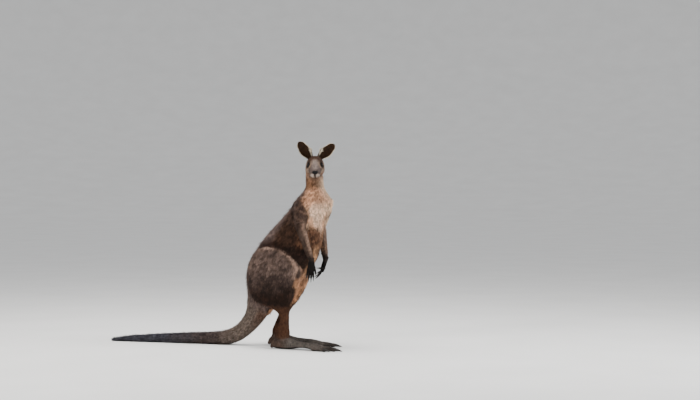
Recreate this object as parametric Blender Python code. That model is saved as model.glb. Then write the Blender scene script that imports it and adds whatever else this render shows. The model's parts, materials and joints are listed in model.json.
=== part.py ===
"""An eastern grey kangaroo at life size, standing on its hind feet and tail with its head turned to its right.

Metres, +X the way the feet point, +Y the animal's left, +Z up, with the floor at zero. The flesh is blended from
lofted forms, trimmed flat at the floor and parted by thin cuts into its named pieces. Every size includes the coat.
"""

import math

import bmesh
import bpy
import numpy as np
from mathutils import Matrix, Vector

SIDES = ("right", "left")
UP = Vector((0, 0, 1))
FORWARD = Vector((1, 0, 0))

GAP = 0.0004  # between neighbouring pieces
CRUMB = 0.010  # anything less tall than this that a cut leaves is dropped
RING_SIDES = 28
LIMB_SIDES = 18
DIGIT_SIDES = 12

# Each mass of flesh: grain of its blend, passes of easing, triangles.
BODY_BLEND = (0.006, 14, 1750)
ARM_BLEND = (0.0030, 3, 260)
HEAD_BLEND = (0.0026, 4, 780)
HAND_BLEND = (0.0015, 2, 440)
FOOT_BLEND = (0.0026, 3, 380)

# The trunk and neck as level rings: height, x and y of the centre, half size fore and aft, half width, turn about Z.
TRUNK = (
    (0.200, -0.085, 0.000, 0.050, 0.045, 0),
    (0.245, -0.070, 0.000, 0.105, 0.080, 0),
    (0.305, -0.048, 0.000, 0.134, 0.100, 0),
    (0.365, -0.022, 0.000, 0.158, 0.112, 0),
    (0.425, 0.006, 0.000, 0.180, 0.120, -3),
    (0.480, 0.038, 0.000, 0.190, 0.126, -6),
    (0.530, 0.062, 0.000, 0.186, 0.126, -10),
    (0.585, 0.090, 0.000, 0.174, 0.122, -15),
    (0.645, 0.124, 0.000, 0.149, 0.114, -22),
    (0.705, 0.161, 0.000, 0.120, 0.106, -30),
    (0.755, 0.192, 0.000, 0.099, 0.100, -37),
    (0.795, 0.209, 0.001, 0.080, 0.091, -41),
    (0.828, 0.213, 0.003, 0.062, 0.067, -48),
    (0.860, 0.213, 0.005, 0.051, 0.051, -54),
    (0.900, 0.210, 0.007, 0.046, 0.048, -60),
    (0.950, 0.208, 0.010, 0.043, 0.044, -64),
)
# The tail from the rump to its tip: x, y, z of the centre, half thickness, half width.
TAIL = (
    (-0.085, 0.000, 0.300, 0.095, 0.070),
    (-0.108, 0.000, 0.240, 0.078, 0.066),
    (-0.128, -0.001, 0.192, 0.063, 0.060),
    (-0.156, -0.003, 0.145, 0.052, 0.053),
    (-0.195, -0.006, 0.100, 0.046, 0.047),
    (-0.245, -0.010, 0.064, 0.043, 0.043),
    (-0.310, -0.016, 0.041, 0.0400, 0.040),
    (-0.400, -0.026, 0.0335, 0.0345, 0.036),
    (-0.530, -0.042, 0.0300, 0.0310, 0.033),
    (-0.650, -0.058, 0.0260, 0.0270, 0.029),
    (-0.760, -0.075, 0.0210, 0.0220, 0.024),
    (-0.850, -0.090, 0.0160, 0.0170, 0.019),
    (-0.920, -0.102, 0.0115, 0.0125, 0.014),
    (-0.975, -0.112, 0.0075, 0.0083, 0.009),
)
# A leg as level rings from the top of the thigh to the ankle: height, front edge, back edge, outward, half width.
LEG = (
    (0.546, 0.060, -0.020, 0.066, 0.034),
    (0.530, 0.108, -0.070, 0.074, 0.052),
    (0.500, 0.143, -0.104, 0.082, 0.065),
    (0.460, 0.166, -0.126, 0.088, 0.073),
    (0.420, 0.173, -0.137, 0.091, 0.077),
    (0.380, 0.171, -0.140, 0.093, 0.076),
    (0.340, 0.161, -0.136, 0.094, 0.072),
    (0.300, 0.145, -0.124, 0.093, 0.065),
    (0.265, 0.129, -0.100, 0.091, 0.056),
    (0.242, 0.118, -0.062, 0.089, 0.046),
    (0.222, 0.110, -0.012, 0.087, 0.037),
    (0.198, 0.105, 0.030, 0.085, 0.030),
    (0.165, 0.102, 0.051, 0.083, 0.0255),
    (0.115, 0.103, 0.038, 0.082, 0.0250),
    (0.075, 0.107, 0.024, 0.081, 0.0275),
    (0.040, 0.106, 0.010, 0.080, 0.0240),
)
# The left leg stands back from the right by this much at each height.
SET_BACK = ((0.0, 0.094), (0.155, 0.093), (0.245, 0.052), (0.300, 0.040), (0.560, 0.030))
HEEL = {"right": Vector((0.004, -0.080, 0.0)), "left": Vector((-0.090, 0.074, 0.0))}
FOOT_TURN = {"right": -3.0, "left": 3.0}
# The foot from heel to ball: distance from the heel, height of the centre, half height, half width.
FOOT = (
    (0.000, 0.0300, 0.0150, 0.0120),
    (0.014, 0.0300, 0.0275, 0.0215),
    (0.045, 0.0325, 0.0345, 0.0265),
    (0.085, 0.0320, 0.0340, 0.0275),
    (0.125, 0.0290, 0.0270, 0.0265),
    (0.165, 0.0290, 0.0195, 0.0255),
    (0.205, 0.0270, 0.0180, 0.0265),
    (0.245, 0.0225, 0.0200, 0.0305),
    (0.280, 0.0180, 0.0185, 0.0330),
    (0.305, 0.0160, 0.0150, 0.0270),
)
# Each toe: start and end along the foot, start and end sideways (outward), half height and half width at each end.
TOES = {
    "fourth": (0.270, 0.372, 0.000, 0.003, 0.0165, 0.0175, 0.0120, 0.0130),
    "fifth": (0.255, 0.334, 0.023, 0.039, 0.0140, 0.0125, 0.0100, 0.0100),
    "paired": (0.250, 0.312, -0.023, -0.031, 0.0110, 0.0105, 0.0085, 0.0095),
}
# Each toe claw: the toe it grows from, its place across that toe, length, half thickness.
TOE_CLAWS = {
    "fourth": ("fourth", 0.000, 0.048, 0.0075),
    "fifth": ("fifth", 0.000, 0.036, 0.0058),
    "third": ("paired", 0.0046, 0.022, 0.0034),
    "second": ("paired", -0.0046, 0.022, 0.0034),
}

SHOULDER = {"right": Vector((0.168, -0.070, 0.746)), "left": Vector((0.244, 0.060, 0.762))}
ELBOW = {"right": Vector((0.2046, -0.155, 0.650)), "left": Vector((0.1860, 0.140, 0.652))}
WRIST = {"right": Vector((0.249, -0.114, 0.476)), "left": Vector((0.2425, 0.076, 0.472))}
KNUCKLES = {"right": Vector((0.246, -0.108, 0.424)), "left": Vector((0.230, 0.060, 0.412))}
# Which way the back of each hand looks.
HAND_BACK = {"right": Vector((0.50, -0.86, 0.0)), "left": Vector((0.75, 0.66, 0.0))}
# Along each bone: share of its length, half size forward, half size across.
UPPER_ARM = ((-0.10, 0.040, 0.040), (0.25, 0.042, 0.038), (0.60, 0.035, 0.031), (1.00, 0.027, 0.0245))
FOREARM = ((-0.06, 0.025, 0.023), (0.18, 0.0265, 0.0235), (0.50, 0.0205, 0.0185), (0.82, 0.0165, 0.0145), (1.0, 0.0150, 0.0135))
PALM = ((-0.15, 0.0145, 0.0130), (0.35, 0.0180, 0.0125), (0.75, 0.0215, 0.0115), (1.00, 0.0205, 0.0100))
# Fingers across the hand, thumb first: place, set back from the knuckles, length, half thickness.
FINGERS = {
    "first": (-1.00, 0.012, 0.028, 0.0053),
    "second": (-0.50, 0.002, 0.038, 0.0057),
    "third": (0.00, 0.000, 0.041, 0.0058),
    "fourth": (0.50, 0.001, 0.039, 0.0057),
    "fifth": (1.00, 0.006, 0.031, 0.0054),
}
FINGER_SPREAD = 0.0168
# The way each finger points: the right ones hang, the left ones reach in before the belly.
FINGER_WAY = {
    "right": {
        "first": (0.14, 0.13, -1.00),
        "second": (0.02, 0.08, -1.00),
        "third": (-0.05, 0.04, -1.00),
        "fourth": (-0.12, 0.00, -1.00),
        "fifth": (-0.20, -0.04, -1.00),
    },
    "left": {
        "first": (-0.38, -0.91, 0.08),
        "second": (-0.15, -0.94, -0.28),
        "third": (-0.12, -0.84, -0.52),
        "fourth": (-0.14, -0.66, -0.72),
        "fifth": (-0.10, -0.48, -0.86),
    },
}
FINGER_CLAW = (0.030, 0.0034)  # length, half thickness

# The head in its own axes, +x to the nose and +z to the crown, set on the neck.
HEAD_AT = Vector((0.2135, 0.006, 0.968))
HEAD_TURN = -64.6
HEAD_PITCH = -17.0
# From the back of the skull to the nose: x, top, bottom, half width.
HEAD = (
    (-0.034, 0.051, -0.061, 0.0505),
    (-0.016, 0.054, -0.065, 0.0525),
    (0.008, 0.0505, -0.064, 0.0505),
    (0.030, 0.0430, -0.0595, 0.0440),
    (0.052, 0.0335, -0.0535, 0.0355),
    (0.074, 0.0245, -0.0480, 0.0300),
    (0.087, 0.0195, -0.0445, 0.0283),
    (0.096, 0.0155, -0.0410, 0.0264),
)
EYE_AT = Vector((0.0260, 0.0312, 0.0165))
EYE_RADIUS = 0.0130
NOSE_AT = Vector((0.1145, 0.0, -0.0005))
NOSE_SIZE = Vector((0.0130, 0.0165, 0.0115))
# Each ear: base in the head's axes, length, lean outward, sweep backward, and how far its hollow looks outward.
EAR_BASE = Vector((-0.034, 0.0290, 0.0380))
EAR_LENGTH = 0.1015
EAR_LEAN = {"right": 34.5, "left": 46.0}
EAR_SWEEP = 10.0
EAR_OUT = 20.0
EAR_WALL = 0.0046
# Along the ear: share of its length, half width, half angle of the hollow in degrees.
EAR = (
    (-0.10, 0.0115, 140),
    (0.02, 0.0155, 124),
    (0.14, 0.0215, 104),
    (0.32, 0.0288, 80),
    (0.52, 0.0305, 66),
    (0.72, 0.0268, 56),
    (0.88, 0.0185, 48),
    (0.97, 0.0100, 42),
    (1.00, 0.0045, 40),
)

# Thin cuts. A leg's cut follows its outline in side view, as x and height, and is open at the foot.
LEG_OUTLINE = (
    (0.152, 0.110),
    (0.160, 0.220),
    (0.182, 0.300),
    (0.192, 0.400),
    (0.184, 0.480),
    (0.135, 0.540),
    (0.030, 0.566),
    (-0.070, 0.546),
    (-0.120, 0.490),
    (-0.146, 0.410),
    (-0.150, 0.340),
    (-0.136, 0.275),
    (-0.085, 0.228),
    (-0.025, 0.202),
    (0.012, 0.172),
    (0.006, 0.110),
)
# How the outline is scaled about the bottom of the cut at each distance outward.
LEG_CUT = ((0.050, 0.80), (0.062, 0.98), (0.230, 1.06))
LEG_CUT_FOOT = Vector((0.078, 0.110))
# Flat cuts across trunk and tail: the piece beyond the cut, a point, the direction across it, radius.
TRUNK_CUTS = (
    ("neck", (0.213, 0.003, 0.836), (0.10, 0, 1), 0.120),
    ("chest", (0.140, 0.000, 0.665), (0.45, 0, 0.89), 0.190),
    ("abdomen", (0.060, 0.000, 0.500), (0.42, 0, 0.91), 0.260),
    ("pelvis", (-0.120, 0.000, 0.232), (0.52, 0, 0.85), 0.150),
    ("tail_root", (-0.222, -0.008, 0.080), (0.76, 0, 0.65), 0.090),
    ("tail_bend", (-0.355, -0.021, 0.037), (1, 0.12, 0.05), 0.070),
    ("tail_upper", (-0.530, -0.042, 0.030), (1, 0.13, 0), 0.060),
    ("tail_middle", (-0.705, -0.066, 0.024), (1, 0.14, 0), 0.050),
    ("tail_lower", (-0.855, -0.091, 0.016), (1, 0.16, 0), 0.040),
)
NECK_TOP = 0.894
KNEE_CUT = (0.064, 0.086, 0.207)  # of the right leg: x, outward and height
ANKLE_CUT = 0.088
WRIST_CUT = 0.90  # share of the forearm

COLOURS = {
    "coat": (0.135, 0.098, 0.075),
    "pale_coat": (0.48, 0.35, 0.25),
    "tail_coat": (0.055, 0.042, 0.036),
    "dark_coat": (0.040, 0.031, 0.027),
    "face_coat": (0.200, 0.160, 0.140),
    "ear_coat": (0.090, 0.066, 0.052),
    "nose": (0.012, 0.011, 0.012),
    "eye": (0.010, 0.006, 0.004),
    "claw": (0.014, 0.012, 0.011),
}
ROUGHNESS = {"eye": 0.08, "claw": 0.35, "nose": 0.45}
PIECE_COLOURS = {
    "head": "face_coat",
    "chest": "pale_coat",
    "tail_upper": "tail_coat",
    "tail_middle": "tail_coat",
    "tail_lower": "tail_coat",
    "tail_tip": "dark_coat",
    "ear": "ear_coat",
    "nose": "nose",
    "eye": "eye",
    "hand": "dark_coat",
    "foot": "dark_coat",
}


def side_sign(side):
    """+1 on the animal's left, which is +Y, and -1 on its right."""
    return 1 if side == "left" else -1


def smooth_rows(rows, steps):
    """Rows of numbers made finer: a Catmull-Rom curve through them, with this many steps to each span."""
    rows = np.array(rows, float)
    padded = np.vstack([2 * rows[0] - rows[1], rows, 2 * rows[-1] - rows[-2]])
    fine = []
    for i in range(len(rows) - 1):
        a, b, c, d = padded[i : i + 4]
        for t in np.arange(steps) / steps:
            curve = 2 * b + (c - a) * t + (2 * a - 5 * b + 4 * c - d) * t**2 + (3 * b - a - 3 * c + d) * t**3
            fine.append(curve / 2)
    fine.append(rows[-1])
    return np.array(fine)


def oval(centre, across, along, half_across, half_along, sides):
    """Points round an oval in the plane of two directions."""
    turns = [2 * math.pi * i / sides for i in range(sides)]
    return [centre + across * (half_across * math.cos(t)) + along * (half_along * math.sin(t)) for t in turns]


def skin_rings(bm, rings):
    """Joins closed rings of points into one closed body, with flat ends."""
    loops = []
    for ring in rings:
        verts = [bm.verts.new(point) for point in ring]
        loops.append([bm.edges.new((verts[i - 1], verts[i])) for i in range(len(verts))])
    for lower, upper in zip(loops, loops[1:]):
        bmesh.ops.bridge_loops(bm, edges=lower + upper)
    for end in (loops[0], loops[-1]):
        bmesh.ops.edgeloop_fill(bm, edges=end)


def add_trunk(bm, above=0.0):
    """The trunk and neck, or only what stands above a height."""
    rings = []
    for z, x, y, fore, side, turn in smooth_rows([row for row in TRUNK if row[0] >= above], 3):
        spin = Matrix.Rotation(math.radians(turn), 3, "Z")
        rings.append(oval(Vector((x, y, z)), spin @ FORWARD, spin @ Vector((0, 1, 0)), fore, side, RING_SIDES))
    skin_rings(bm, rings)


def set_back(side, height):
    heights, shifts = zip(*SET_BACK)
    return np.interp(height, heights, shifts) if side == "left" else 0.0


def add_leg(bm, side, below=1.0):
    """A leg, or only what is below a height."""
    rings = []
    for z, front, back, outward, half_width in smooth_rows([row for row in LEG if row[0] <= below], 2):
        centre = Vector(((front + back) / 2 - set_back(side, z), outward * side_sign(side), z))
        rings.append(oval(centre, FORWARD, Vector((0, 1, 0)), (front - back) / 2, half_width, RING_SIDES))
    skin_rings(bm, rings)


def add_tube(bm, rows, facing, sides=LIMB_SIDES, steps=3):
    """A tube through rows of x, y, z, half size toward facing and half size across, with rounded ends."""
    rows = smooth_rows(rows, steps)
    points = [Vector(row[:3]) for row in rows]
    rings = []
    for i, (x, y, z, fore, side) in enumerate(rows):
        last = i == len(points) - 1
        tangent = (points[i if last else i + 1] - points[max(i - 1, 0)]).normalized()
        ahead = (facing - tangent * facing.dot(tangent)).normalized()
        across = tangent.cross(ahead)
        centre = Vector((x, y, z))
        ring = [oval(centre, ahead, across, fore, side, sides)]
        if i == 0 or last:
            reach = min(fore, side) * (1 if last else -1)
            for angle in (math.radians(25), math.radians(50), math.radians(75)):
                thin = math.cos(angle)
                beyond = centre + tangent * reach * math.sin(angle)
                ring.append(oval(beyond, ahead, across, fore * thin, side * thin, sides))
        rings += ring if last else ring[::-1]
    skin_rings(bm, rings)


def foot_frame(side):
    """From the foot's own axes, forward from the heel and +y outward, to the model's."""
    turn = Matrix.Rotation(math.radians(FOOT_TURN[side]), 4, "Z")
    return Matrix.Translation(HEEL[side]) @ turn @ Matrix.Diagonal((1, side_sign(side), 1, 1))


def toe_rows(side, toe):
    """A toe's centre line and half sizes, arched a little and resting on the floor."""
    start, end, out_start, out_end, tall, wide, tall_end, wide_end = TOES[toe]
    frame = foot_frame(side)
    rows = []
    for t in (0.0, 0.35, 0.7, 1.0):
        height = tall + (tall_end - tall) * t
        lift = height * 0.94 + 0.004 * math.sin(math.pi * t)
        centre = frame @ Vector((start + (end - start) * t, out_start + (out_end - out_start) * t, lift))
        rows.append((*centre, height, wide + (wide_end - wide) * t))
    return rows


def add_foot(bm, side):
    frame = foot_frame(side)
    add_tube(bm, [(*(frame @ Vector((x, 0, z))), tall, wide) for x, z, tall, wide in FOOT], UP)
    for toe in TOES:
        add_tube(bm, toe_rows(side, toe), UP, DIGIT_SIDES)


def bone(start, end, profile):
    return [(*start.lerp(end, share), fore, wide) for share, fore, wide in profile]


def add_upper_arm(bm, side):
    add_tube(bm, bone(SHOULDER[side], ELBOW[side], UPPER_ARM), FORWARD)


def add_forearm(bm, side):
    add_tube(bm, bone(ELBOW[side], WRIST[side], FOREARM), FORWARD)


def hand_across(side):
    """Across the hand, from the thumb to the little finger."""
    down = (KNUCKLES[side] - WRIST[side]).normalized()
    return down.cross(HAND_BACK[side]).normalized() * -side_sign(side)


def finger_line(side, finger):
    """A finger's root, bend and end, and the way its claw sets off."""
    place, set_back, length, _ = FINGERS[finger]
    wristward = (WRIST[side] - KNUCKLES[side]).normalized()
    root = KNUCKLES[side] + hand_across(side) * place * FINGER_SPREAD + wristward * set_back
    way = Vector(FINGER_WAY[side][finger]).normalized()
    curl = (way - HAND_BACK[side].normalized() * 0.20).normalized()
    middle = root + way * length * 0.55
    return (root, middle, middle + curl * length * 0.45), curl


def add_hand(bm, side):
    """Palm and fingers."""
    add_tube(bm, bone(WRIST[side], KNUCKLES[side], PALM), hand_across(side))
    for finger, (_, _, _, thick) in FINGERS.items():
        points, _ = finger_line(side, finger)
        rows = [(*point, thick * slim, thick * slim) for point, slim in zip(points, (1.1, 1.0, 0.92))]
        add_tube(bm, rows, hand_across(side), DIGIT_SIDES)


def head_frame():
    turn = Matrix.Rotation(math.radians(HEAD_TURN), 4, "Z")
    return Matrix.Translation(HEAD_AT) @ turn @ Matrix.Rotation(math.radians(-HEAD_PITCH), 4, "Y")


def mirrored_head_frame(side):
    """The head's axes with +y outward on the given side."""
    return head_frame() @ Matrix.Diagonal((1, side_sign(side), 1, 1))


def add_head(bm):
    frame = head_frame()
    rows = []
    for x, top, bottom, wide in HEAD:
        rows.append((*(frame @ Vector((x, 0, (top + bottom) / 2))), (top - bottom) / 2, wide))
    add_tube(bm, rows, frame.to_3x3() @ UP, RING_SIDES)


def add_ear(bm, side):
    """Crescent rings up the ear: along the back of its wall and down the hollow side."""
    lean = Matrix.Rotation(math.radians(-EAR_LEAN[side]), 4, "X")
    sweep = Matrix.Rotation(math.radians(-EAR_SWEEP), 4, "Y")
    out = Matrix.Rotation(math.radians(EAR_OUT), 4, "Z")
    frame = mirrored_head_frame(side) @ Matrix.Translation(EAR_BASE) @ lean @ sweep @ out
    rings = []
    for share, half_width, half_angle in EAR:
        reach = math.radians(half_angle)
        radius = half_width / math.sin(min(reach, math.pi / 2))
        angles = np.linspace(-reach, reach, 7)
        wall = [(radius + EAR_WALL / 2, a) for a in angles] + [(radius - EAR_WALL / 2, a) for a in angles[::-1]]
        rim = radius * math.cos(reach)  # keeps the two edges of the hollow in one plane
        rings.append([frame @ Vector((rim - r * math.cos(a), r * math.sin(a), share * EAR_LENGTH)) for r, a in wall])
    skin_rings(bm, rings)


def add_eye(bm, side):
    frame = mirrored_head_frame(side) @ Matrix.Translation(EYE_AT)
    bmesh.ops.create_uvsphere(bm, u_segments=12, v_segments=7, radius=EYE_RADIUS, matrix=frame)


def add_nose(bm):
    frame = head_frame() @ Matrix.Translation(NOSE_AT) @ Matrix.Diagonal((*NOSE_SIZE, 1))
    bmesh.ops.create_uvsphere(bm, u_segments=12, v_segments=7, radius=1.0, matrix=frame)


def add_claw(bm, base, way, droop, length, thick):
    """A claw that tapers to a point and curves toward droop."""
    across = way.cross(droop).normalized()
    down = across.cross(way)
    rings = []
    for t in (0.0, 0.55, 1.0):
        taper = (1 - t) ** 0.7
        centre = base + way * length * t + down * length * 0.09 * t * t
        rings.append(oval(centre, down, across, thick * 1.2 * taper + 0.0006, thick * taper + 0.0006, 6))
    skin_rings(bm, rings)


def add_toe_claw(bm, side, claw):
    toe, place, length, thick = TOE_CLAWS[claw]
    rows = toe_rows(side, toe)
    end, before = Vector(rows[-1][:3]), Vector(rows[-2][:3])
    along = Vector((end.x - before.x, end.y - before.y, 0)).normalized()
    outward = foot_frame(side).to_3x3() @ Vector((0, 1, 0))
    base = end + outward * place + along * 0.002 + UP * 0.001
    way = (along - UP * (base.z - thick * 0.8) / length * 0.75).normalized()
    add_claw(bm, base, way, -UP, length, thick)


def add_finger_claw(bm, side, finger):
    points, way = finger_line(side, finger)
    length, thick = FINGER_CLAW
    length *= (FINGERS[finger][2] / 0.042) ** 0.5  # the outer fingers have shorter claws
    add_claw(bm, points[-1], way, -HAND_BACK[side], length, thick)


def new_object(name, bm):
    """Faces out, and linked to the scene."""
    bmesh.ops.recalc_face_normals(bm, faces=bm.faces)
    mesh = bpy.data.meshes.new(name)
    bm.to_mesh(mesh)
    bm.free()
    obj = bpy.data.objects.new(name, mesh)
    bpy.context.scene.collection.objects.link(obj)
    return obj


def build(name, *steps):
    """An object from steps, each a function of a mesh and its own arguments."""
    bm = bmesh.new()
    for step, *values in steps:
        step(bm, *values)
    return new_object(name, bm)


def apply_modifiers(obj):
    bpy.context.view_layer.update()
    graph = bpy.context.evaluated_depsgraph_get()
    mesh = bpy.data.meshes.new_from_object(obj.evaluated_get(graph))
    obj.modifiers.clear()
    obj.data = mesh
    return obj


def blend(obj, grain, passes, triangles):
    """One closed surface round everything in the object, with its creases eased and its triangles thinned."""
    grid = obj.modifiers.new("grid", "REMESH")
    grid.mode = "VOXEL"
    grid.voxel_size = grain
    ease = obj.modifiers.new("ease", "SMOOTH")
    ease.factor = 0.5
    ease.iterations = passes
    apply_modifiers(obj)
    thin = obj.modifiers.new("thin", "DECIMATE")
    thin.ratio = triangles / (2 * len(obj.data.polygons))
    return apply_modifiers(obj)


def cut_with(obj, cutter, operation="DIFFERENCE"):
    """The object after a Boolean with a cutter, which is then done with."""
    boolean = obj.modifiers.new(operation, "BOOLEAN")
    boolean.operation = operation
    boolean.solver = "EXACT"
    boolean.object = cutter
    apply_modifiers(obj)
    bpy.data.objects.remove(cutter)
    return obj


def swollen(obj, gap=GAP):
    """A copy of an object, larger all round by a gap."""
    copy = obj.copy()
    copy.data = obj.data.copy()
    bpy.context.scene.collection.objects.link(copy)
    swell = copy.modifiers.new("swell", "DISPLACE")
    swell.strength = gap
    swell.mid_level = 0.0
    return apply_modifiers(copy)


def thickened(obj):
    """A thin wall, as thick as the gap between pieces, along an open surface."""
    wall = obj.modifiers.new("wall", "SOLIDIFY")
    wall.thickness = GAP
    wall.offset = 0.0
    apply_modifiers(obj)
    bm = bmesh.new()
    bm.from_mesh(obj.data)
    bpy.data.objects.remove(obj)
    return new_object("wall", bm)


def add_block(bm, low, high):
    size = Vector(high) - Vector(low)
    centre = (Vector(high) + Vector(low)) / 2
    bmesh.ops.create_cube(bm, size=1.0, matrix=Matrix.Translation(centre) @ Matrix.Diagonal((*size, 1)))


def add_disc(bm, centre, normal, radius, thick=GAP):
    """A round plate across a direction."""
    turn = UP.rotation_difference(Vector(normal)).to_matrix().to_4x4()
    frame = Matrix.Translation(centre) @ turn
    bmesh.ops.create_cone(
        bm, cap_ends=True, segments=24, radius1=radius, radius2=radius, depth=thick, matrix=frame
    )


def add_leg_cut(bm, side):
    """An open surface round a leg's outline, closed on the inner side and open at the foot."""
    rows = []
    for outward, scale in LEG_CUT:
        row = []
        for x, z in LEG_OUTLINE:
            point = LEG_CUT_FOOT + (Vector((x, z)) - LEG_CUT_FOOT) * scale
            x = point.x - set_back(side, point.y)
            row.append(bm.verts.new((x, outward * side_sign(side), point.y)))
        rows.append(row)
    for inner, outer in zip(rows, rows[1:]):
        for i in range(len(inner) - 1):
            bm.faces.new((inner[i], inner[i + 1], outer[i + 1], outer[i]))
    bm.faces.new(rows[0])
    bmesh.ops.triangulate(bm, faces=bm.faces)


def loose_pieces(obj, crumb=CRUMB):
    """Each separate body in the object as an object of its own, without crumbs; the object itself is done with."""
    bm = bmesh.new()
    bm.from_mesh(obj.data)
    bm.verts.ensure_lookup_table()
    seen = set()
    pieces = []
    for start in bm.verts:
        if start in seen:
            continue
        stack, island = [start], set()
        seen.add(start)
        while stack:
            vert = stack.pop()
            island.add(vert)
            for edge in vert.link_edges:
                other = edge.other_vert(vert)
                if other not in seen:
                    seen.add(other)
                    stack.append(other)
        if (max(vert.co.z for vert in island) - min(vert.co.z for vert in island)) < crumb:
            continue
        piece = bmesh.new()
        made = {vert: piece.verts.new(vert.co) for vert in sorted(island, key=lambda v: v.index)}
        for face in bm.faces:
            if face.verts[0] in island:
                piece.faces.new([made[vert] for vert in face.verts])
        pieces.append(new_object(obj.name + "_piece", piece))
    bm.free()
    bpy.data.objects.remove(obj)
    return pieces


def part_in_two(obj, cutter, point):
    """Parts an object in two along a thin cutter: the piece that comes nearest to a point, and the other."""
    pieces = loose_pieces(cut_with(obj, cutter))
    if len(pieces) != 2:
        sizes = [tuple(piece.dimensions) for piece in pieces]
        raise ValueError(f"a cut left {len(pieces)} pieces: {sizes}")
    pieces.sort(key=lambda piece: min((vert.co - Vector(point)).length for vert in piece.data.vertices))
    return pieces


def largest_piece(obj):
    """The largest body of an object that a cut has left in several."""
    pieces = sorted(loose_pieces(obj, 0.0), key=lambda piece: piece.dimensions.length)
    for crumb in pieces[:-1]:
        bpy.data.objects.remove(crumb)
    return pieces[-1]


def floor_trimmed(obj):
    """Flat where it rests on the floor."""
    return cut_with(obj, build("below_floor", (add_block, (-2, -1, -1), (2, 1, 0))))


def body_pieces():
    """Trunk, tail and legs, blended whole and then parted, and the arms laid against them."""
    steps = [(add_trunk,), (add_tube, TAIL, UP, RING_SIDES)] + [(add_leg, side) for side in SIDES]
    rest = floor_trimmed(blend(build("body", *steps), *BODY_BLEND))
    pieces = {}
    for side in SIDES:
        arm = blend(build("arm", (add_upper_arm, side), (add_forearm, side)), *ARM_BLEND)
        cut_with(arm, swollen(rest, GAP * 1.5))  # more, for the narrow fold of the armpit
        elbow = build("elbow_cut", (add_disc, ELBOW[side], WRIST[side] - SHOULDER[side], 0.06))
        forearm, pieces["upper_arm_" + side] = part_in_two(arm, elbow, WRIST[side])
        pieces["forearm_" + side] = cut_with(forearm, wrist_block(side, 1))
    for side in SIDES:
        leg, rest = part_in_two(rest, thickened(build("leg_cut", (add_leg_cut, side))), HEEL[side])
        x, outward, height = KNEE_CUT
        middle = Vector((x - set_back(side, height), side_sign(side) * outward, height))
        knee = build("knee_cut", (add_disc, middle, UP, 0.060))
        leg, pieces["thigh_" + side] = part_in_two(leg, knee, HEEL[side])
        pieces["shank_" + side] = cut_with(leg, build("below", (add_block, (-1, -1, -1), (1, 1, ANKLE_CUT))))
    rest = cut_with(rest, build("above", (add_block, (-1, -1, NECK_TOP), (1, 1, 2))))
    for name, point, normal, radius in TRUNK_CUTS:
        rest, pieces[name] = part_in_two(rest, build("cut", (add_disc, point, normal, radius)), TAIL[-1][:3])
    pieces["tail_tip"] = rest
    return pieces


def wrist_block(side, beyond):
    """Everything past the wrist's cut, toward the fingers with beyond at 1 or toward the elbow at -1."""
    way = (WRIST[side] - ELBOW[side]).normalized() * beyond
    point = ELBOW[side].lerp(WRIST[side], WRIST_CUT) + way * (0.2 - GAP / 2)
    return build("past_wrist", (add_disc, point, way, 0.2, 0.4))


def head_pieces():
    """The head on the top of the neck, with sockets for eyes and nose, and the ears set on it."""
    head = blend(build("head", (add_head,), (add_trunk, 0.855)), *HEAD_BLEND)
    cut_with(head, build("below_neck", (add_block, (-1, -1, 0), (1, 1, NECK_TOP + GAP))))
    pieces = {"nose": build("nose", (add_nose,))}
    for side in SIDES:
        pieces["eye_" + side] = build("eye", (add_eye, side))
    for piece in pieces.values():
        cut_with(head, swollen(piece))
    pieces["head"] = head
    for side in SIDES:
        pieces["ear_" + side] = largest_piece(cut_with(build("ear", (add_ear, side)), swollen(head)))
    return pieces


def hand_pieces(side):
    hand = blend(build("hand", (add_hand, side), (add_forearm, side)), *HAND_BLEND)
    cut_with(hand, wrist_block(side, -1))
    pieces = {"hand_" + side: hand}
    for finger in FINGERS:
        claw = build("claw", (add_finger_claw, side, finger))
        pieces["finger_claw_" + finger + "_" + side] = largest_piece(cut_with(claw, swollen(hand)))
    return pieces


def foot_pieces(side):
    foot = floor_trimmed(blend(build("foot", (add_foot, side), (add_leg, side, 0.170)), *FOOT_BLEND))
    cut_with(foot, build("above_ankle", (add_block, (-1, -1, ANKLE_CUT - GAP), (1, 1, 1))))
    pieces = {"foot_" + side: foot}
    for claw in TOE_CLAWS:
        grown = floor_trimmed(build("claw", (add_toe_claw, side, claw)))
        pieces["toe_claw_" + claw + "_" + side] = largest_piece(cut_with(grown, swollen(foot)))
    return pieces


def colour_of(name):
    if "claw" in name:
        return "claw"
    for key, colour in PIECE_COLOURS.items():
        if name == key or name.startswith(key + "_right") or name.startswith(key + "_left"):
            return colour
    return "coat"


def finish(pieces):
    """Names, materials and shading, with the middle of the whole animal's box over the origin."""
    corners = np.array([vert.co for piece in pieces.values() for vert in piece.data.vertices])
    low, high = corners.min(axis=0), corners.max(axis=0)
    centring = Matrix.Translation((-(low[0] + high[0]) / 2, -(low[1] + high[1]) / 2, 0))
    for name, piece in pieces.items():
        colour = colour_of(name)
        material = bpy.data.materials.new(name)
        material.use_nodes = True
        shader = material.node_tree.nodes["Principled BSDF"]
        shader.inputs["Base Color"].default_value = (*COLOURS[colour], 1)
        shader.inputs["Roughness"].default_value = ROUGHNESS.get(colour, 0.85)
        piece.name = name
        piece.data.name = name
        piece.data.transform(centring)
        piece.data.materials.clear()
        piece.data.materials.append(material)
        piece.data.shade_smooth()


def main():
    for old in list(bpy.data.objects):
        bpy.data.objects.remove(old)
    pieces = {**body_pieces(), **head_pieces()}
    for side in SIDES:
        pieces |= hand_pieces(side) | foot_pieces(side)
    finish(pieces)


if __name__ == "__main__":
    main()
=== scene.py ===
"""A standing kangaroo, dressed: one skin in place of its solid flesh, a coat of solid tufts, and hard or wet pieces.

The skin repeats the stations of the part's source, smaller by the depth of the coat. All places are worked out in the
source's own axes, X forward, Y to the animal's left and Z up, and moved by OFFSET into the frame at the end.
"""

import json
import math

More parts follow.
